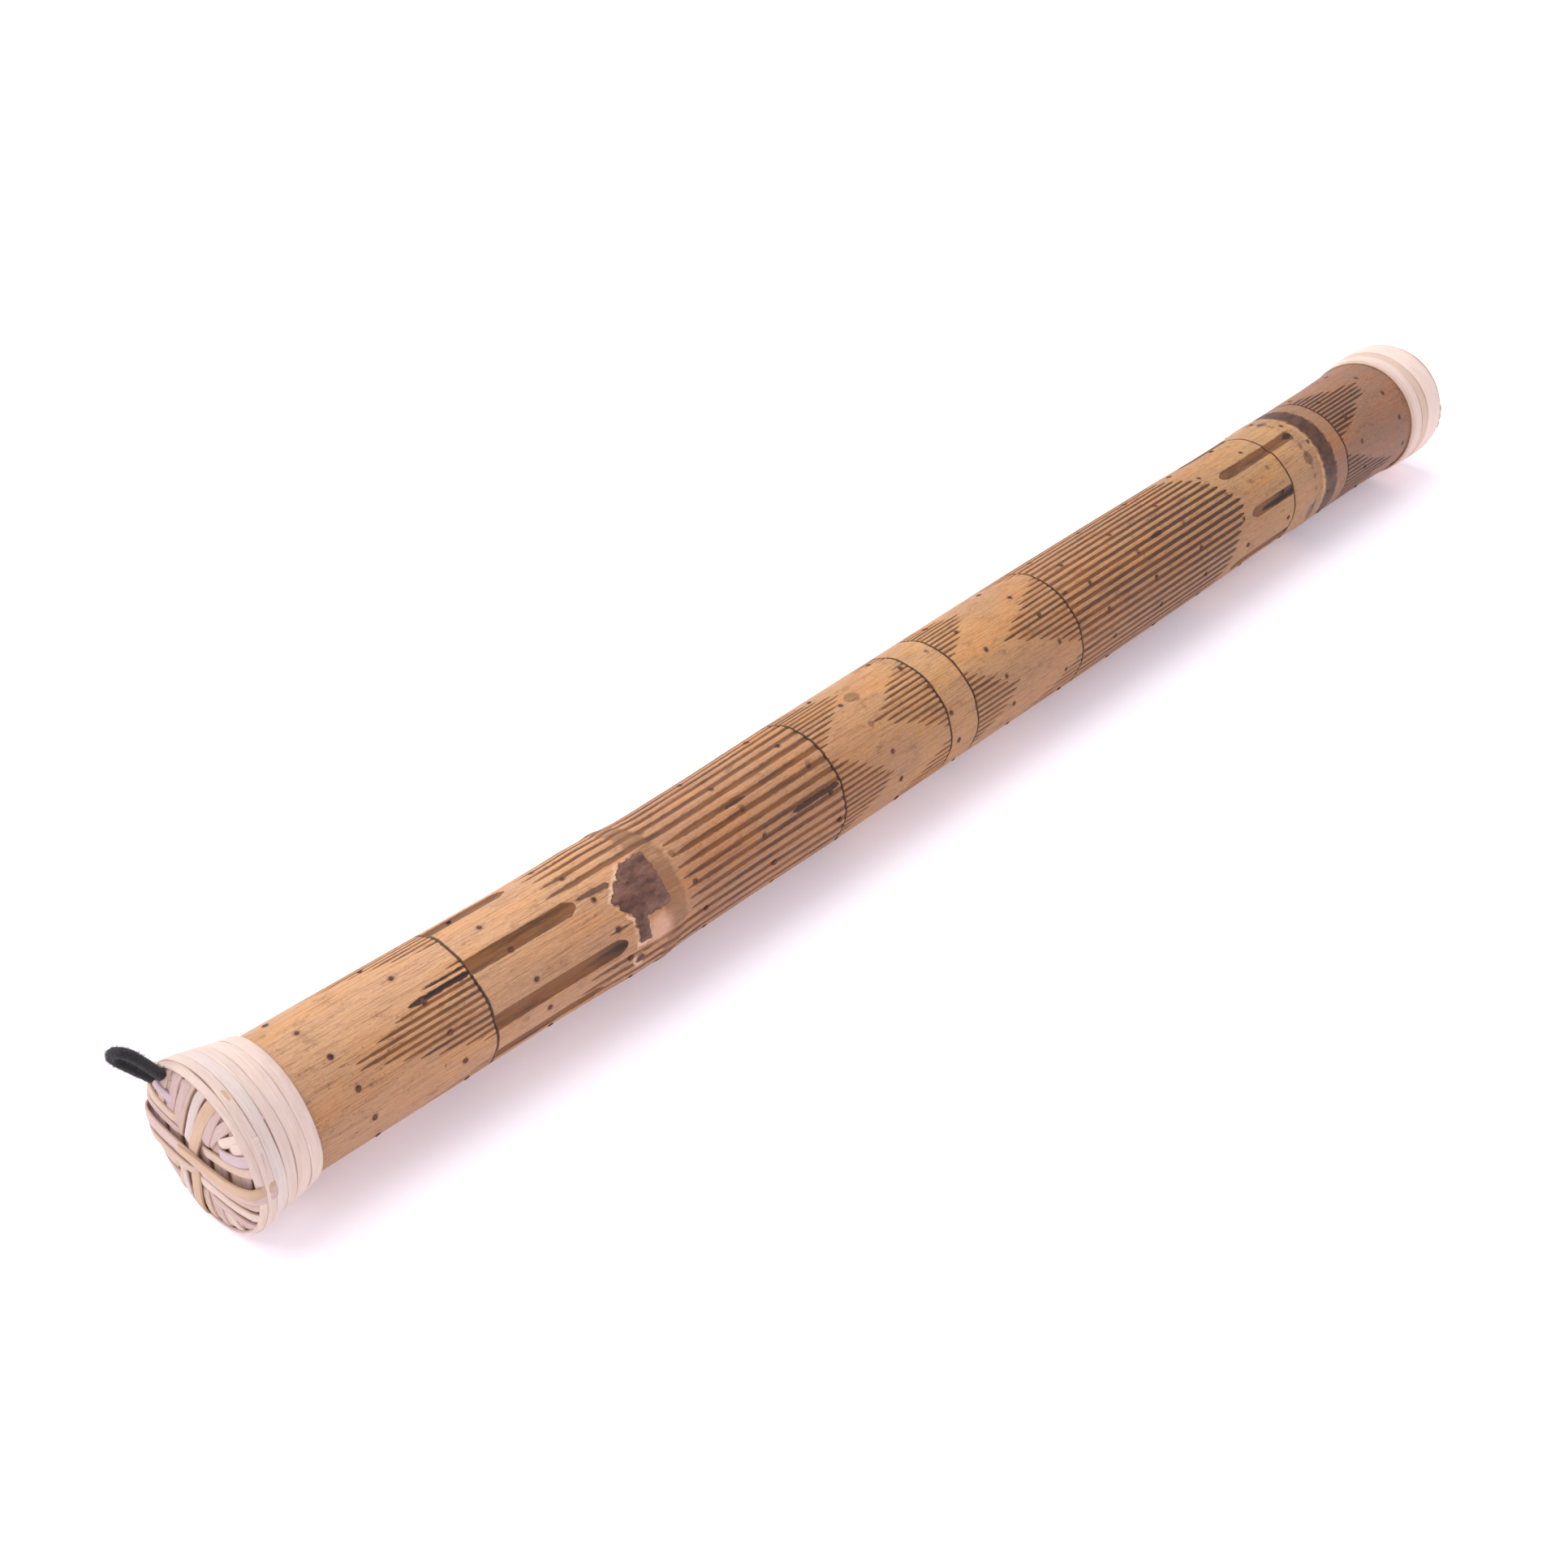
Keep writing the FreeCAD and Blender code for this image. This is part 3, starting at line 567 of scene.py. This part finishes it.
count = int((FAR_MOUTH - 21.3 - 2.5 - PIN_FIRST) / PIN_STEP) + 1
pin_along = PIN_FIRST + PIN_STEP * np.arange(count)
pin_angle = (PIN_START + PIN_TURN * np.arange(count) + 180) % 360 - 180
kept = np.abs(pin_along) > 3.0
pin_along, pin_angle = pin_along[kept], pin_angle[kept]
pin_radius = np.interp(pin_along, *zip(*CULM_RADII))
tops = placed(pin_along, pin_angle, pin_radius + PIN_PROUD)
feet = placed(pin_along, pin_angle, -PIN_SHAFT)
pin_lines = mesh_object("pin_lines", tops, [])
direction = pin_lines.data.attributes.new("drive", "FLOAT_VECTOR", "POINT")
direction.data.foreach_set("vector", (tops - feet).astype(np.float32).ravel())

pin_wood = Finish("pin_wood")
place = pin_wood.node("TexCoord", {}, {}, out="Object")
speck = pin_wood.noise(place, 900.0, 3, 0.6)
pin_brown = pin_wood.tinted(clamped((speck - 0.35) * 3), colour(112, 72, 50), colour(50, 30, 24))
pin_wood.done(pin_brown, 0.75, speck, 0.0004)

pin_tree = bpy.data.node_groups.new("driven_pins", "GeometryNodeTree")
tree_inputs(pin_tree, Thickness="Float", Unevenness="Float", Seed="Int", Finish="Material")
given = geometry_node(pin_tree, "NodeGroupInput")
drive = geometry_node(pin_tree, "GeometryNodeInputNamedAttribute", {"data_type": "FLOAT_VECTOR"},
    {"Name": "drive"})
length = geometry_node(pin_tree, "ShaderNodeVectorMath", {"operation": "LENGTH"}, {0: drive.outputs[0]})
rotation = geometry_node(pin_tree, "FunctionNodeAlignRotationToVector", {"axis": "Z"},
    {"Vector": drive.outputs[0]})
shaft = geometry_node(pin_tree, "GeometryNodeMeshCylinder", {"fill_type": "NGON"},
                      {"Vertices": 7, "Side Segments": 1, "Radius": 0.5, "Depth": 1.0})
lowered = geometry_node(pin_tree, "GeometryNodeTransform", {}, {
    "Geometry": shaft.outputs["Mesh"], "Translation": (0, 0, -0.5)})
spin = geometry_node(pin_tree, "FunctionNodeRandomValue", {"data_type": "FLOAT"}, {
    2: 0.0, 3: 6.28, "Seed": given.outputs["Seed"]})
twist = geometry_node(pin_tree, "FunctionNodeRotateRotation", {"rotation_space": "LOCAL"}, {
    0: rotation.outputs[0],
    1: geometry_node(pin_tree, "FunctionNodeAxisAngleToRotation", {}, {
        "Axis": (0, 0, 1), "Angle": spin.outputs[1]}).outputs[0]})
spread = geometry_node(pin_tree, "ShaderNodeMath", {"operation": "SUBTRACT"},
    {0: 1.0, 1: given.outputs["Unevenness"]})
wide = [geometry_node(pin_tree, "FunctionNodeRandomValue", {"data_type": "FLOAT"}, {
    2: spread.outputs[0], 3: 1.0, "Seed": 11 + k}).outputs[1] for k in range(2)]
sizes = [geometry_node(pin_tree, "ShaderNodeMath", {"operation": "MULTIPLY"}, {
    0: value, 1: given.outputs["Thickness"]}).outputs[0] for value in wide]
scale = geometry_node(pin_tree, "ShaderNodeCombineXYZ", {},
    {0: sizes[0], 1: sizes[1], 2: length.outputs["Value"]})
pins_set = geometry_node(pin_tree, "GeometryNodeInstanceOnPoints", {}, {
    "Points": given.outputs["Geometry"], "Instance": lowered.outputs[0],
    "Rotation": twist.outputs[0], "Scale": scale.outputs[0]})
finish_tree(pin_tree, pins_set.outputs[0], given)
pins = grown("pins", pin_lines, pin_tree, Thickness=PIN_THICK / 1000, Unevenness=0.35, Seed=4,
             Finish=pin_wood.material)
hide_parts("loop_side_pins", "middle_pins", "far_side_pins")
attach(pins, "stick")

# ------------------------------------------------------------------ filling and end discs
# Small hard seeds slide between the pins; a turned softwood disc plugs each mouth. Both
# are closed in for good, so they keep the CAD shapes and only take a finish.
seed_finish = Finish("seed")
place = seed_finish.node("TexCoord", {}, {}, out="Object")
mottle = seed_finish.noise(place, 1400.0, 3, 0.6)
seed_brown = seed_finish.tinted(mottle, colour(120, 84, 52), colour(70, 44, 30))
seed_finish.done(seed_brown, 0.45, mottle, 0.0002)
disc_finish = Finish("disc_wood")
place = disc_finish.node("TexCoord", {}, {}, out="Object")
rings_of_growth = disc_finish.node("TexWave", {"wave_type": "BANDS", "bands_direction": "Y"}, {
    "Vector": place, "Scale": 160.0, "Distortion": 3.0, "Detail": 2.0})
disc_colour = disc_finish.tinted(rings_of_growth, colour(206, 168, 122), colour(172, 130, 88))
disc_finish.done(disc_colour, 0.65, rings_of_growth, 0.0002)
for name, node_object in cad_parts.items():
    if "grains" in name or "end_disc" in name:
        node_object.data.materials.clear()
        node_object.data.materials.append(
            seed_finish.material if "grains" in name else disc_finish.material)

# ------------------------------------------------------------------ the woven and lashed ends
# Split rattan, flat inside and crowned outside, is plaited over each disc, folded down over
# the rim and lashed with turns of the same cane. The plait at the near end is a tight,
# uneven one: a golden strap and a pink one cross it, and pairs of strips fill the quarters.
CANE_TONES = {"cream": 0.0, "pink": 0.2, "tan": 0.4, "golden": 0.6, "pale": 0.8, "lavender": 1.0}

cane = Finish("split_cane")
tone = cane.node("Attribute", {"attribute_name": "tone"}, {}, out="Fac")
strand = cane.node("Attribute", {"attribute_name": "strand"}, {}, out="Fac")
run = cane.node("Attribute", {"attribute_name": "run"}, {}, out="Fac")
side = cane.node("Attribute", {"attribute_name": "section"}, {}, out="Vector")
breadth = Wire(cane, cane.node("SeparateXYZ", {}, {0: side}).socket.node.outputs[1])
grain = cane.node("CombineXYZ", {}, {0: run * 90.0, 1: breadth * 5.0, 2: strand * 3.7})
fibre = cane.noise(cane.stretched(grain, (0.5, 1.6, 1.0)), 2.4, 4, 0.7)
hair = cane.noise(cane.stretched(grain, (0.25, 5.0, 1.0)), 3.0, 2, 0.6)
patch = cane.noise(cane.stretched(grain, (0.9, 0.4, 1.0)), 0.55, 3, 0.6)
rattan = cane.node("ValToRGB", {"stops": (
    (0.0, colour(246, 222, 206)), (0.2, colour(224, 194, 184)), (0.4, colour(234, 204, 180)),
    (0.6, colour(226, 190, 156)), (0.8, colour(242, 224, 214)), (1.0,
        colour(224, 200, 206)))}, {0: tone})
rattan = cane.tinted(clamped((patch - 0.5) * 3) * 0.35, rattan, colour(206, 166, 146))
rattan = cane.tinted(clamped((0.5 - fibre) * 3.5) * 0.4, rattan, colour(184, 142, 122))
rattan = cane.tinted(clamped((hair - 0.58) * 6) * 0.4, rattan, colour(250, 236, 226))
# painted shade: each strip is darkened along its two edges, standing in for the shade in the seams
# between strips
rattan = cane.tinted(clamped((abs(breadth) - 0.42) * 12) * 0.55, rattan, colour(140, 98, 78))
cane.done(rattan, 0.55 + 0.25 * fibre, fibre * 0.5 + hair * 0.5, 0.00035)

cane_tree = bpy.data.node_groups.new("split_cane", "GeometryNodeTree")
tree_inputs(cane_tree, Thickness="Float", Finish="Material")
given = geometry_node(cane_tree, "NodeGroupInput")


def named(tree, name, data_type):
    """A wire that carries a named attribute."""
    return geometry_node(tree, "GeometryNodeInputNamedAttribute", {"data_type": data_type},
        {"Name": name}).outputs[0]


def stored(tree, geometry, name, data_type, value):
    """The geometry with a value stored at its points."""
    return geometry_node(tree, "GeometryNodeStoreNamedAttribute",
        {"data_type": data_type, "domain": "POINT"}, {
        "Geometry": geometry, "Name": name, "Value": value}).outputs[0]


def vector_sum(tree, operation, first, second):
    """A sum of two vectors, or of a vector and a number when it is scaled."""
    slot = 3 if operation == "SCALE" else 1
    return geometry_node(tree, "ShaderNodeVectorMath", {"operation": operation},
        {0: first, slot: second}).outputs[0]


def number_sum(tree, operation, first, second, third=0.0):
    """A sum of numbers."""
    return geometry_node(tree, "ShaderNodeMath", {"operation": operation},
        {0: first, 1: second, 2: third}).outputs[0]


rail = geometry_node(cane_tree, "GeometryNodeMeshToCurve", {},
    {0: given.outputs["Geometry"]}).outputs[0]
rail = stored(cane_tree, rail, "run", "FLOAT",
    geometry_node(cane_tree, "GeometryNodeSplineParameter").outputs["Length"])
rail = stored(cane_tree, rail, "at", "FLOAT_VECTOR",
    geometry_node(cane_tree, "GeometryNodeInputPosition").outputs[0])
rail = stored(cane_tree, rail, "heading", "FLOAT_VECTOR",
    geometry_node(cane_tree, "GeometryNodeInputTangent").outputs[0])
circle = geometry_node(cane_tree, "GeometryNodeCurvePrimitiveCircle", {},
    {"Resolution": 14, "Radius": 0.5}).outputs[0]
spot = geometry_node(cane_tree, "ShaderNodeSeparateXYZ", {}, {
    0: geometry_node(cane_tree, "GeometryNodeInputPosition").outputs[0]})
flat = number_sum(cane_tree, "MINIMUM", number_sum(cane_tree, "MAXIMUM", number_sum(
    cane_tree, "MULTIPLY", spot.outputs[0], 1.6), -0.3), 0.3)
crowned = number_sum(cane_tree, "MULTIPLY_ADD", spot.outputs[0], 0.4, flat)
section = stored(cane_tree, circle, "section", "FLOAT_VECTOR",
    geometry_node(cane_tree, "ShaderNodeCombineXYZ", {}, {
    0: crowned, 1: spot.outputs[1]}).outputs[0])
skin = geometry_node(cane_tree, "GeometryNodeCurveToMesh", {}, {
    "Curve": rail, "Profile Curve": section, "Fill Caps": True}).outputs[0]
place = geometry_node(cane_tree, "ShaderNodeSeparateXYZ", {},
    {0: named(cane_tree, "section", "FLOAT_VECTOR")})
rise = vector_sum(cane_tree, "SCALE", named(cane_tree, "up", "FLOAT_VECTOR"), number_sum(
    cane_tree, "MULTIPLY", place.outputs[0], given.outputs["Thickness"]))
beside = vector_sum(cane_tree, "CROSS_PRODUCT", named(cane_tree, "heading", "FLOAT_VECTOR"),
                    named(cane_tree, "up", "FLOAT_VECTOR"))
spread = vector_sum(cane_tree, "SCALE", beside, number_sum(
    cane_tree, "MULTIPLY", place.outputs[1], named(cane_tree, "wide", "FLOAT")))
position = vector_sum(cane_tree, "ADD", named(cane_tree, "at", "FLOAT_VECTOR"),
    vector_sum(cane_tree, "ADD", rise, spread))
shaped = geometry_node(cane_tree, "GeometryNodeSetPosition", {}, {0: skin, "Position": position})
finish_tree(cane_tree, shaped.outputs[0], given)


def cane_piece(name, strands, thickness, *cad_nodes):
    """Give the cane section to strands of (points, outward directions, widths, tone, closed)."""
    points, links, values = [], [], {"up": [], "wide": [], "tone": [], "strand": []}
    for number, (line, up, wide, shade, closed) in enumerate(strands):
        first, total = len(points), len(line)
        points += [tuple(p) for p in line]
        links += [(first + i, first + (i + 1) % total) for i in range(total if closed else total - 1)]
        values["up"] += [np.asarray(u) / np.linalg.norm(u) for u in up]
        values["wide"] += list(np.broadcast_to(wide, total) / 1000)
        values["tone"] += [CANE_TONES[shade]] * total
        values["strand"] += [float(number)] * total
    mesh = bpy.data.meshes.new(name)
    mesh.from_pydata(points, links, [])
    for word, numbers in values.items():
        vector = word == "up"
        held = mesh.attributes.new(word, "FLOAT_VECTOR" if vector else "FLOAT", "POINT")
        held.data.foreach_set("vector" if vector else "value", np.asarray(numbers, np.float32).ravel())
    lines = bpy.data.objects.new(name + "_lines", mesh)
    scene.collection.objects.link(lines)
    piece = grown(name, lines, cane_tree, Thickness=thickness / 1000, Finish=cane.material)
    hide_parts(*cad_nodes)
    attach(piece, "stick")
    return piece


def on_cap(end, sides, heights, lift, profile):
    """Points and outward directions on a domed end, from mm to the front and up across it."""
    sides, heights = np.asarray(sides, float), np.asarray(heights, float)
    reach, angle = np.hypot(sides, heights), np.degrees(np.arctan2(sides, heights))
    spans, outs, radii = np.asarray(profile, float).T
    out, radius = np.interp(reach, spans, outs), np.interp(reach, spans, radii)
    step = 0.8
    slope_out = (np.interp(reach + step, spans, outs) - np.interp(reach - step, spans,
        outs)) / (2 * step)
    slope_radius = np.interp(reach + step, spans, radii) - np.interp(np.abs(reach - step), spans, radii)
    slope_radius = np.where(reach < step, 1.0, slope_radius / (2 * step))
    long = np.hypot(slope_out, slope_radius)
    lean_out, lean_radius = slope_radius / long, -slope_out / long
    line = placed(end * (out + lift * lean_out), angle, radius + lift * lean_radius)
    above = placed(end * (out + (lift + 1) * lean_out), angle, radius + (lift + 1) * lean_radius)
    return line, above - line


def plaited(end, strips, profile):
    """Strands across an end from strips of (width, tone, lift, tucked ends, corner points)."""
    strands = []
    for wide, shade, lift, tucked, corners in strips:
        corners = np.asarray(corners, float)
        gone = np.concatenate([[0], np.cumsum(np.hypot(*np.diff(corners, axis=0).T))])
        there = np.linspace(0, gone[-1], max(4, int(gone[-1] / 1.1)))
        sides, heights = (np.interp(there, gone, corners[:, k]) for k in range(2))
        for _ in range(2):
            sides[1:-1] = (sides[:-2] + 2 * sides[1:-1] + sides[2:]) / 4
            heights[1:-1] = (heights[:-2] + 2 * heights[1:-1] + heights[2:]) / 4
        dive = np.zeros(len(there))
        if "a" in tucked:
            dive = np.maximum(dive, 1 - there / 2.6)
        if "b" in tucked:
            dive = np.maximum(dive, 1 - (gone[-1] - there) / 2.6)
        over_rim = np.clip((np.hypot(sides, heights) - 22) / 2.5, 0, 1)
        lifts = lift - max(lift - 0.65, 0) * over_rim - 1.1 * np.clip(dive, 0, 1) ** 2
        line, up = on_cap(end, sides, heights, lifts, profile)
        strands.append((line, up, wide, shade, False))
    return strands


def turns_of_cane(end, turns):
    """Closed turns round the culm from (start, stop, outer radius at both, tone, seed)."""
    strands = []
    for start, stop, first_radius, last_radius, shade, seed in turns:
        round_angle = np.linspace(-180, 180, 97)[:-1]
        t = np.radians(round_angle)
        drift = 0.16 * np.sin(2 * t + seed) + 0.1 * np.sin(5 * t + 2 * seed)
        middle = end * ((start + stop) / 2 + drift)
        radius = (first_radius + last_radius) / 2 + 0.06 * np.sin(3 * t + seed)
        line = placed(middle, round_angle, radius)
        lean = (first_radius - last_radius) / (stop - start)
        up = placed(middle + end * lean, round_angle, radius + 1) - line
        wide = (stop - start + 0.25) * (1 + 0.04 * np.sin(4 * t + 3 * seed))
        strands.append((line, up, wide, shade, True))
    return strands


# how the near end rounds over: mm across it, distance out from the near node, radius
NEAR_PROFILE = ((0, 148.7, 0), (8, 148.6, 8), (14, 148.4, 14), (18, 148.0, 17.9), (20.5, 147.5, 20.3),
                (22.2, 146.8, 21.9), (23.4, 145.9, 22.8), (25, 144.4, 23.4), (29, 140.4, 23.2), (40,
                    129.5, 21.2))
NEAR_UNDER = [(3.6, shade, -0.1, "", [(h, -21.5), (h + 1.2 * math.sin(h), 0), (h + 1.5, 21.5)])
              for h, shade in zip(np.arange(-19, 20, 3.8), ("pink", "tan") * 6)]
NEAR_STRIPS = (
    # upper left: strips going up, then those lying across them
    (3.6, "pink", 0.3, "b", ((0.4, 23.4), (-3.5, 14), (-6.6, 6.6), (-8, 2))),
    (3.2, "pink", 0.3, "b", ((-4.2, 23.2), (-7.5, 13), (-10.5, 6), (-11.5, 2))),
    (3.0, "tan", 0.3, "b", ((-9.2, 21.6), (-12.5, 12), (-14.5, 5))),
    (3.0, "lavender", 0.75, "b", ((-18.6, 13.6), (-15, 13.4), (-6.2, 13))),
    (3.1, "tan", 0.8, "b", ((-22, 8.4), (-18.7, 8.4), (-5.6, 7.5))),
    (2.4, "pink", 0.85, "b", ((-22.7, 5.2), (-19.4, 5.4), (-4.6, 4.4))),
    # upper right
    (3.0, "pale", 0.3, "b", ((21, 14), (14, 5))),
    (3.2, "pink", 0.6, "b", ((15.2, 17.8), (10, 12.4), (6.3, 6.6))),
    (2.9, "cream", 0.65, "b", ((18.4, 14.8), (14.6, 12.5), (10.6, 9.9))),
    (3.2, "pink", 0.9, "b", ((11.5, 20.2), (9.5, 15.5), (5.6, 6.4))),
    (3.0, "cream", 0.8, "a", ((14.9, 10.5), (19, 12.6), (22, 14.2))),
    (3.2, "lavender", 1.0, "a", ((10.6, 7.8), (18, 8.7), (23.4, 9.9))),
    (2.9, "tan", 0.9, "a", ((3.4, 4.4), (14, 5.2), (23.6, 6.6))),
    # lower right
    (2.8, "tan", 0.3, "a", ((0.6, -9.9), (0.1, -18.4), (0, -22.6))),
    (2.6, "pink", 0.3, "a", ((5.6, -10), (5.4, -18), (5.6, -22))),
    (2.8, "cream", 0.35, "a", ((9.8, -11), (10.6, -17), (12, -20))),
    (2.6, "pink", 0.3, "a", ((14, -12), (15.3, -15), (16.6, -17))),
    (3.0, "pink", 0.8, "a", ((3.4, -11.3), (10, -11.7), (16.3, -13), (19.2, -14))),
    (3.2, "cream", 0.85, "a", ((-0.9, -7.7), (8, -7.8), (17.7, -8.5), (22.2, -9))),
    (2.5, "tan", 0.9, "a", ((-0.1, -4.6), (10, -4.6), (21.3, -4.6), (23.6, -4.6))),
    # lower left
    (2.8, "tan", 0.3, "a", ((-13, -8), (-12.4, -17), (-12.4, -20))),
    (2.8, "pink", 0.3, "a", ((-17, -7), (-16.5, -13), (-16.8, -16.5))),
    (2.8, "cream", 0.75, "b", ((-17, -16.6), (-13, -17), (-9.6, -17.2))),
    (2.8, "pink", 0.8, "b", ((-20.4, -12.4), (-14, -13.3), (-9.2, -13.6))),
    (3.0, "tan", 0.85, "b", ((-22.4, -8), (-18, -8.6), (-9.3, -9.8))),
    # the under band: thin tan, pale and golden strips, up from the bottom edge to the top
    (2.4, "tan", 1.0, "a", ((-4.4, -3.6), (-8, -11.5), (-10.9, -17.7), (-12.6, -20.2))),
    (2.8, "pale", 1.0, "a", ((-7.0, -4.6), (-7.2, -12), (-7.3, -18.4), (-7.5, -22.4))),
    (3.8, "golden", 1.1, "b", ((-3.9, -22.8), (-3.7, -19), (-0.7, -5), (0.3, 3), (5.8, 14),
        (10.2, 22), (11.6, 25))),
    (1.3, "tan", 1.1, "b", ((3.0, 23.2), (-0.8, 14), (-5.1, 3.0))),
    (2.9, "pale", 1.1, "b", ((6.0, 22.8), (2.4, 14), (-2.3, 2.4))),
    # the over band
    (2.6, "tan", 1.75, "b", ((-22.6, -5), (-13.7, -4.7), (-6, -5.2), (0.6, -4.9))),
    (4.6, "pink", 1.8, "ab", ((-27, 0.6), (-22, 0.1), (-13, 0.1), (-5, -0.3), (6, -0.9), (16, -0.9),
        (23.4, -0.4), (27.8, -0.2))),
    (3.2, "golden", 2.3, "ab", ((-6.6, -0.2), (3.4, 0.2), (14.9, 0.1), (23.2, 1.2), (27.6, 2.0))))
near_strands = plaited(-1, NEAR_UNDER, NEAR_PROFILE) + plaited(-1, NEAR_STRIPS, NEAR_PROFILE)
cane_piece("near_plait", near_strands, 0.9, "loop_under_band", "loop_over_band", "loop_corner_strips")
NEAR_TURNS = ((127.3, 131.4, 20.6, 21.3, "cream", 1.0), (131.4, 136.0, 21.35, 22.2, "cream", 2.2),
              (136.0, 139.3, 22.25, 22.95, "cream", 3.1), (139.3, 143.0, 23.0, 23.7, "pale", 4.5),
              (143.0, 145.8, 23.8, 24.05, "cream", 5.3), (145.6, 147.6, 23.9, 22.7, "cream", 0.4))
cane_piece("near_turns", turns_of_cane(-1, NEAR_TURNS), 0.85, "loop_wrap_1", "loop_wrap_2",
    "loop_wrap_3",
           "loop_wrap_4", "loop_rim_hoop")

FAR_PROFILE = [(reach, out + 301.0, radius * 1.02) for reach, out, radius in NEAR_PROFILE]
far_strips = [(3.6, ("pink", "tan", "cream")[k % 3], -0.1, "", [(h, -22), (h, 22)])
              for k, h in enumerate(np.arange(-19, 20, 3.8))]
for across in (-13.5, -9.5, 9.5, 13.5):
    far_strips.append((3.0, "tan", 0.7, "", [(-19, across), (19, across)]))
for offset in (-3.1, 0, 3.1):
    far_strips.append((2.9, "cream", 0.9, "", [(offset, -22.8), (offset, 22.8)]))
for offset in (-3.1, 0, 3.1):
    far_strips.append((2.9, "golden" if offset == 0 else "pink", 1.75, "",
        [(-23, offset), (23, offset)]))
cane_piece("far_plait", plaited(1, far_strips, FAR_PROFILE), 0.9, "far_under_band", "far_over_band",
    "far_corner_strips")
FAR_TURNS = ((424.9, 426.6, 23.2, 23.3, "tan", 0.7), (426.5, 428.2, 23.35, 23.5, "cream", 1.9),
             (428.1, 432.1, 23.45, 23.75, "cream", 2.6), (432.0, 436.3, 23.75, 23.95, "tan", 3.7),
             (436.2, 447.2, 24.0, 24.1, "cream", 4.4), (447.0, 449.2, 23.95, 22.9, "tan", 5.9))
cane_piece("far_turns", turns_of_cane(1, FAR_TURNS), 0.85, "far_wrap_1", "far_wrap_2", "far_wrap_3",
           "far_edge_hoop_1", "far_edge_hoop_2", "far_rim_hoop")
for name in ("loop_folded_ends", "far_folded_ends"):
    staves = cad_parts[name]
    staves.data.materials.clear()
    staves.data.materials.append(disc_finish.material)

# ------------------------------------------------------------------ the hanging loop
# A soft black felted cord, 3 mm thick, folded back on itself, its two ends caught between
# the rim and the plait; short loose fibres stand off it.
cord_data = bpy.data.curves.new("hanging_cord", "CURVE")
cord_data.dimensions = "3D"
cord_data.bevel_depth, cord_data.bevel_resolution = 0.0015, 4
cord_data.use_fill_caps = True
LOOP_POINTS = ((-0.2989, 0.0140, 0.0430), (-0.3018, 0.0147, 0.0477), (-0.3051, 0.0162, 0.0527),
               (-0.3072, 0.0198, 0.0524), (-0.3066, 0.0221, 0.0490), (-0.3030, 0.0195, 0.0448),
               (-0.2997, 0.0168, 0.0412))
spline = cord_data.splines.new("NURBS")
spline.points.add(len(LOOP_POINTS) - 1)
for point, place in zip(spline.points, LOOP_POINTS):
    point.co = (*place, 1)
spline.order_u = 3
spline.use_endpoint_u = True
spline.resolution_u = 12
loop_cord = bpy.data.objects.new("hanging_cord", cord_data)
scene.collection.objects.link(loop_cord)
felt = Finish("black_felt")
place = felt.node("TexCoord", {}, {}, out="Object")
nap = felt.noise(place, 2600.0, 3, 0.7)
felt.done(felt.tinted(nap, colour(12, 11, 14), colour(34, 31, 40)), 0.95, nap, 0.0004,
    Sheen_Weight=0.2, Sheen_Roughness=0.6)
cord_data.materials.append(felt.material)

fuzz_tree = bpy.data.node_groups.new("cord_fuzz", "GeometryNodeTree")
tree_inputs(fuzz_tree, Density="Float", Length="Float", Seed="Int", Finish="Material")
given = geometry_node(fuzz_tree, "NodeGroupInput")
roots = geometry_node(fuzz_tree, "GeometryNodeDistributePointsOnFaces", {}, {
    "Mesh": given.outputs["Geometry"], "Density": given.outputs["Density"],
    "Seed": given.outputs["Seed"]})
hair_shape = geometry_node(fuzz_tree, "GeometryNodeMeshCone", {}, {
    "Vertices": 3, "Radius Top": 0.00002, "Radius Bottom": 0.00005, "Depth": 1.0}).outputs["Mesh"]
tilt = geometry_node(fuzz_tree, "FunctionNodeRandomValue", {"data_type": "FLOAT_VECTOR"}, {
    0: (-0.9, -0.9, 0.0), 1: (0.9, 0.9, 6.28), "Seed": given.outputs["Seed"]}).outputs[0]
leaning = geometry_node(fuzz_tree, "FunctionNodeRotateRotation", {"rotation_space": "LOCAL"}, {
    0: roots.outputs["Rotation"], 1: geometry_node(fuzz_tree, "FunctionNodeEulerToRotation", {},
        {0: tilt}).outputs[0]})
height = geometry_node(fuzz_tree, "FunctionNodeRandomValue", {"data_type": "FLOAT"}, {
    2: 0.3, 3: 1.0, "Seed": 8}).outputs[1]
tall = geometry_node(fuzz_tree, "ShaderNodeCombineXYZ", {}, {
    0: 1.0, 1: 1.0, 2: number_sum(fuzz_tree, "MULTIPLY", height, given.outputs["Length"])})
hairs = geometry_node(fuzz_tree, "GeometryNodeInstanceOnPoints", {}, {
    "Points": roots.outputs["Points"], "Instance": hair_shape,
    "Rotation": leaning.outputs[0], "Scale": tall.outputs[0]})
finish_tree(fuzz_tree, hairs.outputs[0], given)
bpy.context.view_layer.update()
evaluated_cord = loop_cord.evaluated_get(bpy.context.evaluated_depsgraph_get())
skin_mesh = bpy.data.meshes.new_from_object(evaluated_cord)
skin = bpy.data.objects.new("cord_skin", skin_mesh)
scene.collection.objects.link(skin)
fuzz = grown("cord_fuzz", skin, fuzz_tree, Density=4.0e6, Length=0.0011, Seed=3, Finish=felt.material)
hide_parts("hanging_loop")
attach(loop_cord, "stick")
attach(fuzz, "stick")
